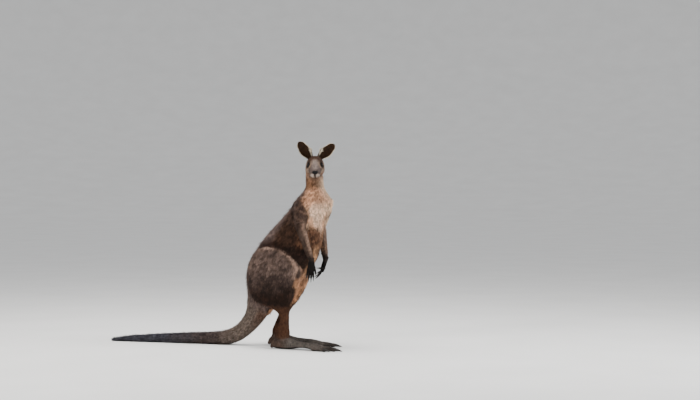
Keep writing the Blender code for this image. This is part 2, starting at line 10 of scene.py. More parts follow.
import bmesh
import bpy
import numpy as np
from mathutils import Matrix, Vector

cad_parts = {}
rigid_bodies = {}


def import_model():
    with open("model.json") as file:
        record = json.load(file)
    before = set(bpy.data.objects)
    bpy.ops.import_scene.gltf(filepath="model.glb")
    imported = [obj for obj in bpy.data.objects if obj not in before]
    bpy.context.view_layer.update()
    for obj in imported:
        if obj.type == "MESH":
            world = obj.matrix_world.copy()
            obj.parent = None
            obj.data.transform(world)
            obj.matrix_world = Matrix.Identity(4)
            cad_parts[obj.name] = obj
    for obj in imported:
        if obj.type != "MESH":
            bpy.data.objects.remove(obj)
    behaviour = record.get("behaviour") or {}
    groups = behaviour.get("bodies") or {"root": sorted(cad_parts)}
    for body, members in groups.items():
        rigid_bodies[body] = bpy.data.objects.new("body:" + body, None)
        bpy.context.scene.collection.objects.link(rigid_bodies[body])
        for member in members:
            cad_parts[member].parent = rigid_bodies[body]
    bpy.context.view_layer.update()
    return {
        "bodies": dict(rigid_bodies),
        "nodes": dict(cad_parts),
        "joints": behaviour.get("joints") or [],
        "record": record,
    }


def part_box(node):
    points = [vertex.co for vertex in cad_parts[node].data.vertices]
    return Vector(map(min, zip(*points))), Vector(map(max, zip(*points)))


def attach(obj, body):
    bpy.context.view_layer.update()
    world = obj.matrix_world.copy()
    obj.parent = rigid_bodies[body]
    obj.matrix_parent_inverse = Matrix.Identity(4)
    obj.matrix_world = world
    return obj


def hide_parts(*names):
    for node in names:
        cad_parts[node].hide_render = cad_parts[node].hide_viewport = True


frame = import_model()

SEED = 7
FORWARD = np.array((1.0, 0.0, 0.0))
UP = np.array((0.0, 0.0, 1.0))
SIDES = ("right", "left")
THINNING = 1.0
FLOOR_GAP = 0.0004  # between the floor and what rests on it
SKIN_TRIANGLES = 260000
# Points round a ring of each kind of piece.
LID_SIDES, EYE_SIDES, CLAW_SIDES, HAIR_SIDES, FLOOR_SIDES = 72, 64, 18, 4, 96
# Covers that are not one of the guides are numbered from here on.
EAR_MASS, FINGER_MASS = 1000, 2000

# The trunk and neck as level rings: height, x and y of the centre, half size fore and aft, half width, turn about Z.
TRUNK = (
    (0.200, -0.085, 0.000, 0.050, 0.045, 0),
    (0.245, -0.070, 0.000, 0.105, 0.080, 0),
    (0.305, -0.048, 0.000, 0.134, 0.100, 0),
    (0.365, -0.022, 0.000, 0.158, 0.112, 0),
    (0.425, 0.006, 0.000, 0.180, 0.120, -3),
    (0.480, 0.038, 0.000, 0.190, 0.126, -6),
    (0.530, 0.062, 0.000, 0.186, 0.126, -10),
    (0.585, 0.090, 0.000, 0.174, 0.122, -15),
    (0.645, 0.124, 0.000, 0.149, 0.114, -22),
    (0.705, 0.161, 0.000, 0.120, 0.106, -30),
    (0.755, 0.192, 0.000, 0.099, 0.100, -37),
    (0.795, 0.209, 0.001, 0.080, 0.091, -41),
    (0.828, 0.213, 0.003, 0.062, 0.067, -48),
    (0.860, 0.213, 0.005, 0.051, 0.051, -54),
    (0.900, 0.210, 0.007, 0.046, 0.048, -60),
    (0.950, 0.208, 0.010, 0.043, 0.044, -64),
)
# The tail from the rump to its tip: x, y, z of the centre, half thickness, half width.
TAIL = (
    (-0.085, 0.000, 0.300, 0.095, 0.070),
    (-0.108, 0.000, 0.240, 0.078, 0.066),
    (-0.128, -0.001, 0.192, 0.063, 0.060),
    (-0.156, -0.003, 0.145, 0.052, 0.053),
    (-0.195, -0.006, 0.100, 0.046, 0.047),
    (-0.245, -0.010, 0.064, 0.043, 0.043),
    (-0.310, -0.016, 0.041, 0.0400, 0.040),
    (-0.400, -0.026, 0.0335, 0.0345, 0.036),
    (-0.530, -0.042, 0.0300, 0.0310, 0.033),
    (-0.650, -0.058, 0.0260, 0.0270, 0.029),
    (-0.760, -0.075, 0.0210, 0.0220, 0.024),
    (-0.850, -0.090, 0.0160, 0.0170, 0.019),
    (-0.920, -0.102, 0.0115, 0.0125, 0.014),
    (-0.975, -0.112, 0.0075, 0.0083, 0.009),
)
# A leg as level rings from the top of the thigh to the ankle: height, front edge, back edge, outward, half width.
LEG = (
    (0.546, 0.060, -0.020, 0.066, 0.034),
    (0.530, 0.108, -0.070, 0.074, 0.052),
    (0.500, 0.143, -0.104, 0.082, 0.065),
    (0.460, 0.166, -0.126, 0.088, 0.073),
    (0.420, 0.173, -0.137, 0.091, 0.077),
    (0.380, 0.171, -0.140, 0.093, 0.076),
    (0.340, 0.161, -0.136, 0.094, 0.072),
    (0.300, 0.145, -0.124, 0.093, 0.065),
    (0.265, 0.129, -0.100, 0.091, 0.056),
    (0.242, 0.118, -0.062, 0.089, 0.046),
    (0.222, 0.110, -0.012, 0.087, 0.037),
    (0.198, 0.105, 0.030, 0.085, 0.030),
    (0.165, 0.102, 0.051, 0.083, 0.0255),
    (0.115, 0.103, 0.038, 0.082, 0.0250),
    (0.075, 0.107, 0.024, 0.081, 0.0275),
    (0.040, 0.106, 0.010, 0.080, 0.0240),
)
# The left leg stands back from the right by this much at each height.
SET_BACK = ((0.0, 0.094), (0.155, 0.093), (0.245, 0.052), (0.300, 0.040), (0.560, 0.030))
HEEL = {"right": Vector((0.004, -0.080, 0.0)), "left": Vector((-0.090, 0.074, 0.0))}
FOOT_TURN = {"right": -3.0, "left": 3.0}
# The foot from heel to ball: distance from the heel, height of the centre, half height, half width.
FOOT = (
    (0.000, 0.0300, 0.0150, 0.0120),
    (0.014, 0.0300, 0.0275, 0.0215),
    (0.045, 0.0325, 0.0345, 0.0265),
    (0.085, 0.0320, 0.0340, 0.0275),
    (0.125, 0.0290, 0.0270, 0.0265),
    (0.165, 0.0290, 0.0195, 0.0255),
    (0.205, 0.0270, 0.0180, 0.0265),
    (0.245, 0.0225, 0.0200, 0.0305),
    (0.280, 0.0180, 0.0185, 0.0330),
    (0.305, 0.0160, 0.0150, 0.0270),
)
# Each toe: start and end along the foot, start and end sideways (outward), half height and half width at each end.
TOES = {
    "fourth": (0.270, 0.372, 0.000, 0.003, 0.0165, 0.0175, 0.0120, 0.0130),
    "fifth": (0.255, 0.334, 0.023, 0.039, 0.0140, 0.0125, 0.0100, 0.0100),
    "paired": (0.250, 0.312, -0.023, -0.031, 0.0110, 0.0105, 0.0085, 0.0095),
}
# Each toe claw: the toe it grows from, its place across that toe, length, half thickness.
TOE_CLAWS = {
    "fourth": ("fourth", 0.000, 0.048, 0.0075),
    "fifth": ("fifth", 0.000, 0.036, 0.0058),
    "third": ("paired", 0.0046, 0.022, 0.0034),
    "second": ("paired", -0.0046, 0.022, 0.0034),
}
# The arm's joints, and the way that the back of the hand faces.
SHOULDER = {"right": Vector((0.168, -0.070, 0.746)), "left": Vector((0.244, 0.060, 0.762))}
ELBOW = {"right": Vector((0.2046, -0.155, 0.650)), "left": Vector((0.1860, 0.140, 0.652))}
WRIST = {"right": Vector((0.249, -0.114, 0.476)), "left": Vector((0.2425, 0.076, 0.472))}
KNUCKLES = {"right": Vector((0.246, -0.108, 0.424)), "left": Vector((0.230, 0.060, 0.412))}
HAND_BACK = {"right": Vector((0.50, -0.86, 0.0)), "left": Vector((0.75, 0.66, 0.0))}
# Along each bone: share of its length, half size forward, half size across.
UPPER_ARM = ((-0.10, 0.040, 0.040), (0.25, 0.042, 0.038), (0.60, 0.035, 0.031), (1.00, 0.027, 0.0245))
FOREARM = (
    (-0.06, 0.025, 0.023),
    (0.18, 0.0265, 0.0235),
    (0.50, 0.0205, 0.0185),
    (0.82, 0.0165, 0.0145),
    (1.0, 0.0150, 0.0135),
)
PALM = ((-0.15, 0.0145, 0.0130), (0.35, 0.0180, 0.0125), (0.75, 0.0215, 0.0115), (1.00, 0.0205, 0.0100))
# Fingers across the hand, thumb first: place, set back from the knuckles, length, half thickness.
FINGERS = {
    "first": (-1.00, 0.012, 0.028, 0.0053),
    "second": (-0.50, 0.002, 0.038, 0.0057),
    "third": (0.00, 0.000, 0.041, 0.0058),
    "fourth": (0.50, 0.001, 0.039, 0.0057),
    "fifth": (1.00, 0.006, 0.031, 0.0054),
}
FINGER_SPREAD = 0.0168  # half the width over which their roots spread
# The way each finger points from its root.
FINGER_WAY = {
    "right": {
        "first": (0.14, 0.13, -1.00),
        "second": (0.02, 0.08, -1.00),
        "third": (-0.05, 0.04, -1.00),
        "fourth": (-0.12, 0.00, -1.00),
        "fifth": (-0.20, -0.04, -1.00),
    },
    "left": {
        "first": (-0.38, -0.91, 0.08),
        "second": (-0.15, -0.94, -0.28),
        "third": (-0.12, -0.84, -0.52),
        "fourth": (-0.14, -0.66, -0.72),
        "fifth": (-0.10, -0.48, -0.86),
    },
}
FINGER_CLAW = (0.030, 0.0034)  # length, half thickness
CLAW_SHARE = 0.985  # a claw's piece over its solid

# The head in its own axes, +x to the nose and +z to the crown; turns, leans and sweeps are in degrees.
HEAD_AT = Vector((0.2135, 0.006, 0.968))
HEAD_TURN = -64.6
HEAD_PITCH = -17.0
# From the back of the skull to the nose: x, top, bottom, half width.
HEAD = (
    (-0.034, 0.051, -0.061, 0.0505),
    (-0.016, 0.054, -0.065, 0.0525),
    (0.008, 0.0505, -0.064, 0.0505),
    (0.030, 0.0430, -0.0595, 0.0440),
    (0.052, 0.0335, -0.0535, 0.0355),
    (0.074, 0.0245, -0.0480, 0.0300),
    (0.087, 0.0195, -0.0445, 0.0283),
    (0.096, 0.0155, -0.0410, 0.0264),
)
EYE_AT = Vector((0.0260, 0.0312, 0.0165))
EYE_RADIUS = 0.0130
EYE_LOOK = Vector((0.42, 0.88, 0.12)).normalized()
NOSE_AT = Vector((0.1145, 0.0, -0.0005))
NOSE_SIZE = Vector((0.0100, 0.0152, 0.0104))
EAR_BASE = Vector((-0.034, 0.0290, 0.0380))
EAR_LENGTH = 0.1015
EAR_LEAN = {"right": 34.5, "left": 46.0}
EAR_SWEEP = 10.0
EAR_OUT = 20.0
EAR_WALL = 0.0024
EAR_TUFT = 0.0009  # the width of a tuft
# Along the ear: share of its length, half width, half angle of the hollow in degrees.
EAR = (
    (-0.10, 0.0115, 140),
    (0.02, 0.0155, 124),
    (0.14, 0.0215, 104),
    (0.32, 0.0288, 80),
    (0.52, 0.0305, 66),
    (0.72, 0.0268, 56),
    (0.88, 0.0185, 48),
    (0.97, 0.0100, 42),
    (1.00, 0.0045, 40),
)
# Behind the neck and down the heel: x, y, z, half size forward, half size across; the heel's are from its corner.
NAPE = (
    (0.194, 0.044, 0.965, 0.033, 0.033),
    (0.198, 0.036, 0.920, 0.036, 0.036),
    (0.204, 0.024, 0.870, 0.042, 0.042),
    (0.206, 0.008, 0.815, 0.050, 0.050),
)
TENDON = (
    (0.066, 0.0, 0.168, 0.009, 0.010),
    (0.047, 0.0, 0.125, 0.009, 0.010),
    (0.030, 0.0, 0.088, 0.0095, 0.011),
    (0.0150, 0.0, 0.055, 0.010, 0.012),
    (0.0030, 0.0, 0.027, 0.011, 0.013),
    (-0.0040, 0.0, 0.0105, 0.0090, 0.0130),
)
# How far the skin lies inside the solids on each mass.
DEPTH = {
    "trunk": 0.0085,
    "tail": 0.0055,
    "leg": 0.0070,
    "foot": 0.0022,
    "arm": 0.0042,
    "palm": 0.0012,
    "head": 0.0032,
}


def side_sign(side):
    """+1 on the animal's left, which is +Y, and -1 on its right."""
    return 1 if side == "left" else -1


def unit(vectors):
    """Each vector over its own length."""
    return vectors / np.maximum(np.linalg.norm(vectors, axis=-1, keepdims=True), 1e-12)


def step(x, start, end):
    """0 before start and 1 after end, eased by t*t*(3 - 2t) between."""
    t = np.clip((x - start) / (end - start), 0, 1)
    return t * t * (3 - 2 * t)


def hill(x, centre, width):
    """A bell of height 1: e to the minus square of the distance from the centre over the width."""
    return np.exp(-(((x - centre) / width) ** 2))


def smooth_rows(rows, steps):
    """Rows made finer by a Catmull-Rom curve: the cubic through each two rows whose slopes follow their neighbours."""
    rows = np.array(rows, float)
    padded = np.vstack([2 * rows[0] - rows[1], rows, 2 * rows[-1] - rows[-2]])
    t = (np.arange(steps) / steps)[None, :, None]
    a, b, c, d = (padded[k : k + len(rows) - 1, None, :] for k in range(4))
    fine = (2 * b + (c - a) * t + (2 * a - 5 * b + 4 * c - d) * t**2 + (3 * b - a - 3 * c + d) * t**3) / 2
    return np.vstack([fine.reshape(-1, rows.shape[1]), rows[-1]])


def placed(matrix, points):
    """Points carried by a 4 by 4 matrix."""
    matrix = np.array(matrix)
    return np.asarray(points) @ matrix[:3, :3].T + matrix[:3, 3]


def far_from(points, places):
    """Each point's distance from the nearest of some places."""
    return np.min([np.linalg.norm(points - np.array(place), axis=1) for place in places], axis=0)


def noise(points, size, seed):
    """Soft noise from 0 to 1: a number at each corner of a cubic lattice, blended by eased distance between corners."""
    place = points / size + 1000.0
    cell = np.floor(place).astype(np.int64)
    t = place - cell
    t = t * t * (3 - 2 * t)
    total = 0.0
    for corner in np.ndindex(2, 2, 2):
        weight = np.prod(np.where(np.array(corner), t, 1 - t), axis=-1)
        total = total + weight * lattice(cell + np.array(corner), seed)
    return total


def lattice(cell, seed):
    """A number from 0 to 1 for each whole-number point, mixed by multiplying and folding its bits."""
    h = cell[..., 0] * 73856093 ^ cell[..., 1] * 19349663 ^ cell[..., 2] * 83492791 ^ (seed * 668265263)
    h = ((h ^ (h >> 13)) * 1274126177) & 0x7FFFFFFF
    h = ((h ^ (h >> 15)) * 2246822519) & 0x7FFFFFFF
    return (h & 0xFFFF) / 65535.0


def locks(points, size, seed):
    """Each point's lock, the nearest of one loose point in each cubic cell: its centre and a number of its own."""
    cell = np.floor(points / size).astype(np.int64)
    best = np.full(len(points), 1e9)
    centre = np.zeros_like(points)
    own = np.zeros(len(points))
    for shift in np.ndindex(3, 3, 3):
        near = cell + np.array(shift) - 1
        loose = (near + np.stack([lattice(near, seed + k) for k in (1, 2, 3)], axis=-1)) * size
        far = ((points - loose) ** 2).sum(axis=-1)
        closer = far < best
        best = np.where(closer, far, best)
        centre = np.where(closer[:, None], loose, centre)
        own = np.where(closer, lattice(near, seed + 4), own)
    return centre, own


def turns(count):
    """Equal steps of angle round a full turn."""
    return 2 * np.pi * np.arange(count) / count


def oval_rings(centre, ahead, across, fore, wide, sides):
    """Rings round a line: at each place the centre plus cosine times one half axis plus sine times the other."""
    turn = turns(sides)
    first = ahead[:, None, :] * (fore[:, None] * np.cos(turn))[..., None]
    second = across[:, None, :] * (wide[:, None] * np.sin(turn))[..., None]
    return centre[:, None, :] + first + second


def ring_quads(count, around):
    """Rings of points kept one after another: each point's number, its neighbour's, and the faces between the rings."""
    index = np.arange(count * around).reshape(count, around)
    beside = np.roll(index, -1, axis=1)
    return index, beside, np.stack([index[:-1], beside[:-1], beside[1:], index[1:]], axis=-1).reshape(-1, 4)


def halved(quads):
    """Two triangles for each four-sided face."""
    return np.concatenate([quads[:, [0, 1, 2]], quads[:, [0, 2, 3]]])


def closed(rings):
    """Points and faces of a body: four-sided faces between neighbouring rings, and one flat face over each end."""
    index, _, quads = ring_quads(*rings.shape[:2])
    return rings.reshape(-1, 3), quads.tolist() + [index[0, ::-1].tolist(), index[-1].tolist()]


class Guide:
    """A line through a mass of the body, with the mass's half sizes along it and the way its coat lies."""

    def __init__(self, mass, side, centre, ahead, across, fore, wide, flow=None):
        self.mass, self.side = mass, side
        self.centre, self.ahead, self.across, self.fore, self.wide = centre, ahead, across, fore, wide
        self.axis = np.cross(ahead, across)
        self.flow = unit(np.gradient(centre, axis=0)) if flow is None else flow
        self.along = np.concatenate([[0], np.cumsum(np.linalg.norm(np.diff(centre, axis=0), axis=1))])

    def read(self, points):
        """For each point: how far out it is as a share of the mass's size, the angle round, the way along, the flow."""
        offset = points[:, None, :] - self.centre
        a = (offset * self.ahead).sum(axis=-1)
        b = (offset * self.across).sum(axis=-1)
        t = (offset * self.axis).sum(axis=-1)
        out = (a / self.fore) ** 2 + (b / self.wide) ** 2 + 4 * (t / np.minimum(self.fore, self.wide)) ** 2
        pick = out.argmin(axis=1)
        row = np.arange(len(points))
        angle = np.arctan2(b[row, pick] / self.wide[pick], a[row, pick] / self.fore[pick])
        return np.sqrt(out[row, pick]), angle, self.along[pick], self.flow[pick]


def tube_guide(mass, side, rows, facing, depth, steps=4):
    """A guide through rows of x, y, z, half size toward facing and half size across, less the coat's depth."""
    rows = smooth_rows(rows, steps)
    centre = rows[:, :3]
    tangent = unit(np.gradient(centre, axis=0))
    ahead = unit(facing - (tangent @ facing)[:, None] * tangent)
    return Guide(mass, side, centre, ahead, np.cross(tangent, ahead), rows[:, 3] - depth, rows[:, 4] - depth)


def rounded(guide, sides=40):
    """A guide's closed tube; its ends are rings that shrink along a quarter of an oval."""
    rise = np.radians((20, 40, 60, 78))
    rings = [oval_rings(guide.centre, guide.ahead, guide.across, guide.fore, guide.wide, sides)]
    for end in (0, -1):
        way = unit(guide.centre[-1] - guide.centre[-2] if end else guide.centre[0] - guide.centre[1])
        reach = min(guide.fore[end], guide.wide[end])
        centre = guide.centre[end] + way * (reach * np.sin(rise))[:, None]
        ahead, across = (np.repeat(v[end][None, :], len(rise), axis=0) for v in (guide.ahead, guide.across))
        cap = oval_rings(centre, ahead, across, guide.fore[end] * np.cos(rise), guide.wide[end] * np.cos(rise), sides)
        rings = rings + [cap] if end else [cap[::-1]] + rings
    return closed(np.concatenate(rings))


def trunk_guide():
    """The level rings of trunk and neck, from the top down."""
    z, x, y, fore, wide, turn = smooth_rows(TRUNK[::-1], 4).T
    turn = np.radians(turn)
    zero = np.zeros_like(turn)
    centre = np.stack([x, y, z], axis=-1)
    ahead = np.stack([np.cos(turn), np.sin(turn), zero], axis=-1)
    across = np.stack([-np.sin(turn), np.cos(turn), zero], axis=-1)
    thin = DEPTH["trunk"] * (0.55 + 0.45 * step(z, 0.92, 0.76))
    return Guide("trunk", "", centre, ahead, across, fore - thin, wide - thin)


def tail_guide():
    rows = np.array(TAIL)
    thin = DEPTH["tail"] * (0.45 + 0.55 * step(rows[:, 3], 0.010, 0.045))
    rows[:, 2] -= 0.5 * thin * step(rows[:, 2], 0.10, 0.04)
    rows[:, 3:] -= thin[:, None]
    return tube_guide("tail", "", rows, UP, 0.0)


def set_back(z, side):
    """How far the leg's rings stand behind the right leg's at each height."""
    heights, shifts = zip(*SET_BACK)
    return np.interp(z, heights, shifts) if side == "left" else 0.0


def leg_guide(side):
    """Level rings from the top of the thigh to the ankle; the flow turns backward over the thigh."""
    z, front, back, outward, wide = smooth_rows(LEG, 3).T
    centre = np.stack([(front + back) / 2 - set_back(z, side), outward * side_sign(side), z], axis=-1)
    ahead = np.repeat(FORWARD[None, :], len(z), axis=0)
    across = np.repeat(np.array([[0.0, 1.0, 0.0]]), len(z), axis=0)
    thin = DEPTH["leg"] * (0.45 + 0.55 * step(z, 0.16, 0.30))
    flow = unit(unit(np.gradient(centre, axis=0)) + np.outer(step(z, 0.20, 0.38), (-0.45, 0, 0)))
    return Guide("leg", side, centre, ahead, across, (front - back) / 2 - thin, wide - thin, flow)


def foot_frame(side):
    """From the foot's own axes, forward from the heel and +y outward, to the model's."""
    turn = Matrix.Rotation(math.radians(FOOT_TURN[side]), 4, "Z")
    return Matrix.Translation(HEEL[side]) @ turn @ Matrix.Diagonal((1, side_sign(side), 1, 1))


def toe_rows(side, toe):
    """A toe's centre line and half sizes, arched a little and resting on the floor."""
    start, end, out_start, out_end, tall, wide, tall_end, wide_end = TOES[toe]
    t = np.array((0.0, 0.35, 0.7, 1.0))
    height = tall + (tall_end - tall) * t
    lift = height * 0.94 + 0.004 * np.sin(np.pi * t)
    line = np.stack([start + (end - start) * t, out_start + (out_end - out_start) * t, lift], axis=-1)
    return np.column_stack([placed(foot_frame(side), line), height, wide + (wide_end - wide) * t])


def foot_guides(side):
    """Foot and toes, sunk by the coat's depth so that the sole stays on the floor."""
    rows = np.array(FOOT)
    centre = placed(foot_frame(side), np.stack([rows[:, 0], 0 * rows[:, 0], rows[:, 1]], axis=-1))
    sets = [np.column_stack([centre, rows[:, 2:]])] + [toe_rows(side, toe) for toe in TOES]
    for rows in sets:
        rows[:, 2] -= DEPTH["foot"]
    names = ["foot"] + ["toe_" + toe for toe in TOES]
    made = [tube_guide(name, side, rows, UP, DEPTH["foot"]) for name, rows in zip(names, sets)]
    # Behind the heel the coat runs down before it turns forward.
    made[0].flow = unit(made[0].flow + np.outer(step(made[0].along, 0.040, 0.012), (-0.55, 0, -1.3)))
    return made


def bone(start, end, profile):
    return [(*start.lerp(end, share), fore, wide) for share, fore, wide in profile]


def arm_guides(side):
    upper = tube_guide("upper_arm", side, bone(SHOULDER[side], ELBOW[side], UPPER_ARM), FORWARD, DEPTH["arm"])
    fore = np.array(bone(ELBOW[side], WRIST[side], FOREARM))
    fore[:, 3:] -= (DEPTH["arm"] * np.array((1, 0.9, 0.65, 0.4, 0.3)))[:, None]
    palm = tube_guide("palm", side, bone(WRIST[side], KNUCKLES[side], PALM), hand_across(side), DEPTH["palm"])
    return [upper, tube_guide("forearm", side, fore, FORWARD, 0.0), palm]


def hand_across(side):
    """Across the hand, from the thumb to the little finger."""
    down = (KNUCKLES[side] - WRIST[side]).normalized()
    return np.array(down.cross(HAND_BACK[side]).normalized() * -side_sign(side))


def finger_line(side, finger):
    """A finger's root, bend and end, and the way its claw sets off."""
    place, set_back, length, _ = FINGERS[finger]
    wristward = (WRIST[side] - KNUCKLES[side]).normalized()
    root = KNUCKLES[side] + Vector(hand_across(side)) * place * FINGER_SPREAD + wristward * set_back
    way = Vector(FINGER_WAY[side][finger]).normalized()
    curl = (way - HAND_BACK[side].normalized() * 0.20).normalized()
    middle = root + way * length * 0.55
    return (root, middle, middle + curl * length * 0.45), curl


def finger_guide(side, finger):
    """Root, knuckles and end of a finger, thicker at its joints."""
    (root, middle, end), _ = finger_line(side, finger)
    thick = FINGERS[finger][3] - 0.0007
    places = (root.lerp(middle, -0.35), root, root.lerp(middle, 0.5), middle, middle.lerp(end, 0.5), end)
    rows = [(*at, size * thick, size * thick) for at, size in zip(places, (1.0, 1.12, 0.95, 1.06, 0.92, 0.98))]
    return tube_guide("finger_" + finger, side, rows, hand_across(side), 0.0, 5)


def head_frame():
    turn = Matrix.Rotation(math.radians(HEAD_TURN), 4, "Z")
    return Matrix.Translation(HEAD_AT) @ turn @ Matrix.Rotation(math.radians(-HEAD_PITCH), 4, "Y")


def mirrored_head_frame(side):
    """The head's axes with +y outward on the given side."""
    return head_frame() @ Matrix.Diagonal((1, side_sign(side), 1, 1))


def head_guide():
    """Rings of the head from the nose back; the coat lies the same way."""
    x, top, bottom, wide = np.array(HEAD[::-1]).T
    centre = placed(head_frame(), np.stack([x, 0 * x, (top + bottom) / 2], axis=-1))
    rows = np.column_stack([centre, (top - bottom) / 2, wide])
    return tube_guide("head", "", rows, np.array(head_frame().to_3x3() @ Vector(UP)), DEPTH["head"], 6)


OFFSET = np.mean([list(corner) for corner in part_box("eye_left")], axis=0)
OFFSET -= np.array(mirrored_head_frame("left") @ EYE_AT)


def make_mesh(name, points, *face_sets):
    """A mesh from points and arrays of faces, each array with one number of corners."""
    mesh = bpy.data.meshes.new(name)
    mesh.vertices.add(len(points))
    mesh.vertices.foreach_set("co", np.ascontiguousarray(points, dtype=np.float32).ravel())
    corners = np.concatenate([faces.ravel() for faces in face_sets])
    sizes = np.concatenate([np.full(len(faces), faces.shape[1]) for faces in face_sets])
    mesh.loops.add(len(corners))
    mesh.loops.foreach_set("vertex_index", corners.astype(np.int32))
    mesh.polygons.add(len(sizes))
    mesh.polygons.foreach_set("loop_start", np.concatenate([[0], np.cumsum(sizes)[:-1]]).astype(np.int32))
    mesh.update(calc_edges=True)
    return mesh, corners


def add_object(name, data, finish=None):
    if finish:
        data.materials.append(finish)
    obj = bpy.data.objects.new(name, data)
    bpy.context.scene.collection.objects.link(obj)
    return obj


def paint_points(mesh, colour):
    """The markings as a colour on each point."""
    rgba = np.concatenate([colour, np.ones((len(colour), 1))], axis=1)
    mesh.attributes.new("coat", "FLOAT_COLOR", "POINT").data.foreach_set("color", rgba.astype(np.float32).ravel())


def joined(name, shells):
    """One object from closed shells of points and faces, with their faces turned outward."""
    mesh = bpy.data.meshes.new(name)
    points, faces, count = [], [], 0
    for shell_points, shell_faces in shells:
        points.append(shell_points)
        faces += [[corner + count for corner in face] for face in shell_faces]
        count += len(shell_points)
    mesh.from_pydata(np.concatenate(points).tolist(), [], faces)
    bm = bmesh.new()
    bm.from_mesh(mesh)
    bmesh.ops.recalc_face_normals(bm, faces=bm.faces)
    bm.to_mesh(mesh)
    bm.free()
    return add_object(name, mesh)


def apply_modifiers(obj):
    bpy.context.view_layer.update()
    graph = bpy.context.evaluated_depsgraph_get()
    mesh = bpy.data.meshes.new_from_object(obj.evaluated_get(graph))
    obj.modifiers.clear()
    obj.data = mesh
    return obj


# The merging in steps: the grid's grain and the passes of easing.
MERGES = {"bulk": (0.005, 14), "limbs": (0.003, 4), "skin": (0.0022, 7)}
COARSENING = 0.12  # how strongly the thinning spares head, hands and feet


def merged(name, shells):
    """One closed surface round all the shells, with its creases eased."""
    obj = joined(name, shells)
    grid = obj.modifiers.new("grid", "REMESH")
    ease = obj.modifiers.new("ease", "SMOOTH")
    grid.mode = "VOXEL"
    ease.factor = 0.5
    grid.voxel_size, ease.iterations = MERGES[name]
    return apply_modifiers(obj)


def arrays_of(mesh):
    """Points and triangles of a mesh."""
    mesh.calc_loop_triangles()
    points = np.empty(len(mesh.vertices) * 3, np.float32)
    mesh.vertices.foreach_get("co", points)
    triangles = np.empty(len(mesh.loop_triangles) * 3, np.int32)
    mesh.loop_triangles.foreach_get("vertices", triangles)
    return points.reshape(-1, 3).astype(float), triangles.reshape(-1, 3)


def shell_of(obj):
    """An object's points and faces as a shell, and the object is done with."""
    points = [vertex.co[:] for vertex in obj.data.vertices]
    faces = [list(face.vertices) for face in obj.data.polygons]
    bpy.data.objects.remove(obj)
    return np.array(points), faces


def point_normals(points, triangles):
    """The mean of the normals of the triangles round each point, weighted by area."""
    a, b, c = (points[triangles[:, k]] for k in range(3))
    face = np.cross(b - a, c - a)
    total = np.stack([np.bincount(triangles.ravel(), np.repeat(face[:, k], 3), len(points)) for k in range(3)], axis=-1)
    return unit(total)


guides = [trunk_guide(), tail_guide(), head_guide()]
for side in SIDES:
    guides += [leg_guide(side)] + foot_guides(side) + arm_guides(side)
finger_guides = [finger_guide(side, finger) for side in SIDES for finger in FINGERS]


def guide_shells(*masses):
    return [rounded(guide) for guide in guides if guide.mass in masses]


def nape_shell():
    """A tapering column from the back of the skull down into the shoulders, so that the nape is full."""
    rows = np.array(NAPE)
    return rounded(tube_guide("nape", "", rows, FORWARD, 0.0))


def heel_shell(side):
    """The heel tendon, from the back of the shank down and back to the squared corner of the heel on the floor."""
    heel = np.array(HEEL[side])
    rows = np.array(TENDON)
    rows[:, :3] += heel
    return rounded(tube_guide("heel", side, rows, FORWARD, 0.0))


def body_skin():
    """The masses merged: trunk, tail and legs widely eased, the arms less, then both with the rest closely."""
    bulk = merged("bulk", guide_shells("trunk", "tail", "leg"))
    limbs = merged("limbs", guide_shells("upper_arm", "forearm"))
    small = guide_shells("palm", "foot", "toe_fourth", "toe_fifth", "toe_paired", "head")
    small += [nape_shell()] + [heel_shell(side) for side in SIDES]
    skin = merged("skin", [shell_of(bulk), shell_of(limbs)] + small)
    points, _ = arrays_of(skin.data)
    detail = region_detail(points)
    coarse = skin.vertex_groups.new(name="coarse")
    for level in range(5):
        chosen = np.flatnonzero(np.clip((detail * 5).astype(int), 0, 4) == level)
        coarse.add(chosen.tolist(), 1.0 - level / 4, "REPLACE")
    thin = skin.modifiers.new("thin", "DECIMATE")
    thin.ratio = SKIN_TRIANGLES / (2 * len(skin.data.polygons))
    thin.vertex_group = "coarse"
    thin.vertex_group_factor = COARSENING
    apply_modifiers(skin)
    arrays = arrays_of(skin.data)
    bpy.data.objects.remove(skin)
    return arrays


def region_detail(points):
    """1 on head, hands and feet, where the skin keeps its fine grain, and 0 on the body."""
    head = step(far_from(points, [HEAD_AT]), 0.16, 0.12)
    feet = step(points[:, 2], 0.10, 0.07) * step(points[:, 0], -0.12, -0.09)
    hands = step(far_from(points, KNUCKLES.values()), 0.09, 0.06)
    return np.maximum(np.maximum(head, hands), feet)


def head_places(points):
    """Points in the head's own axes, with y as the distance from its middle plane."""
    local = placed(head_frame().inverted(), points)
    local[:, 1] = np.abs(local[:, 1])
    return local


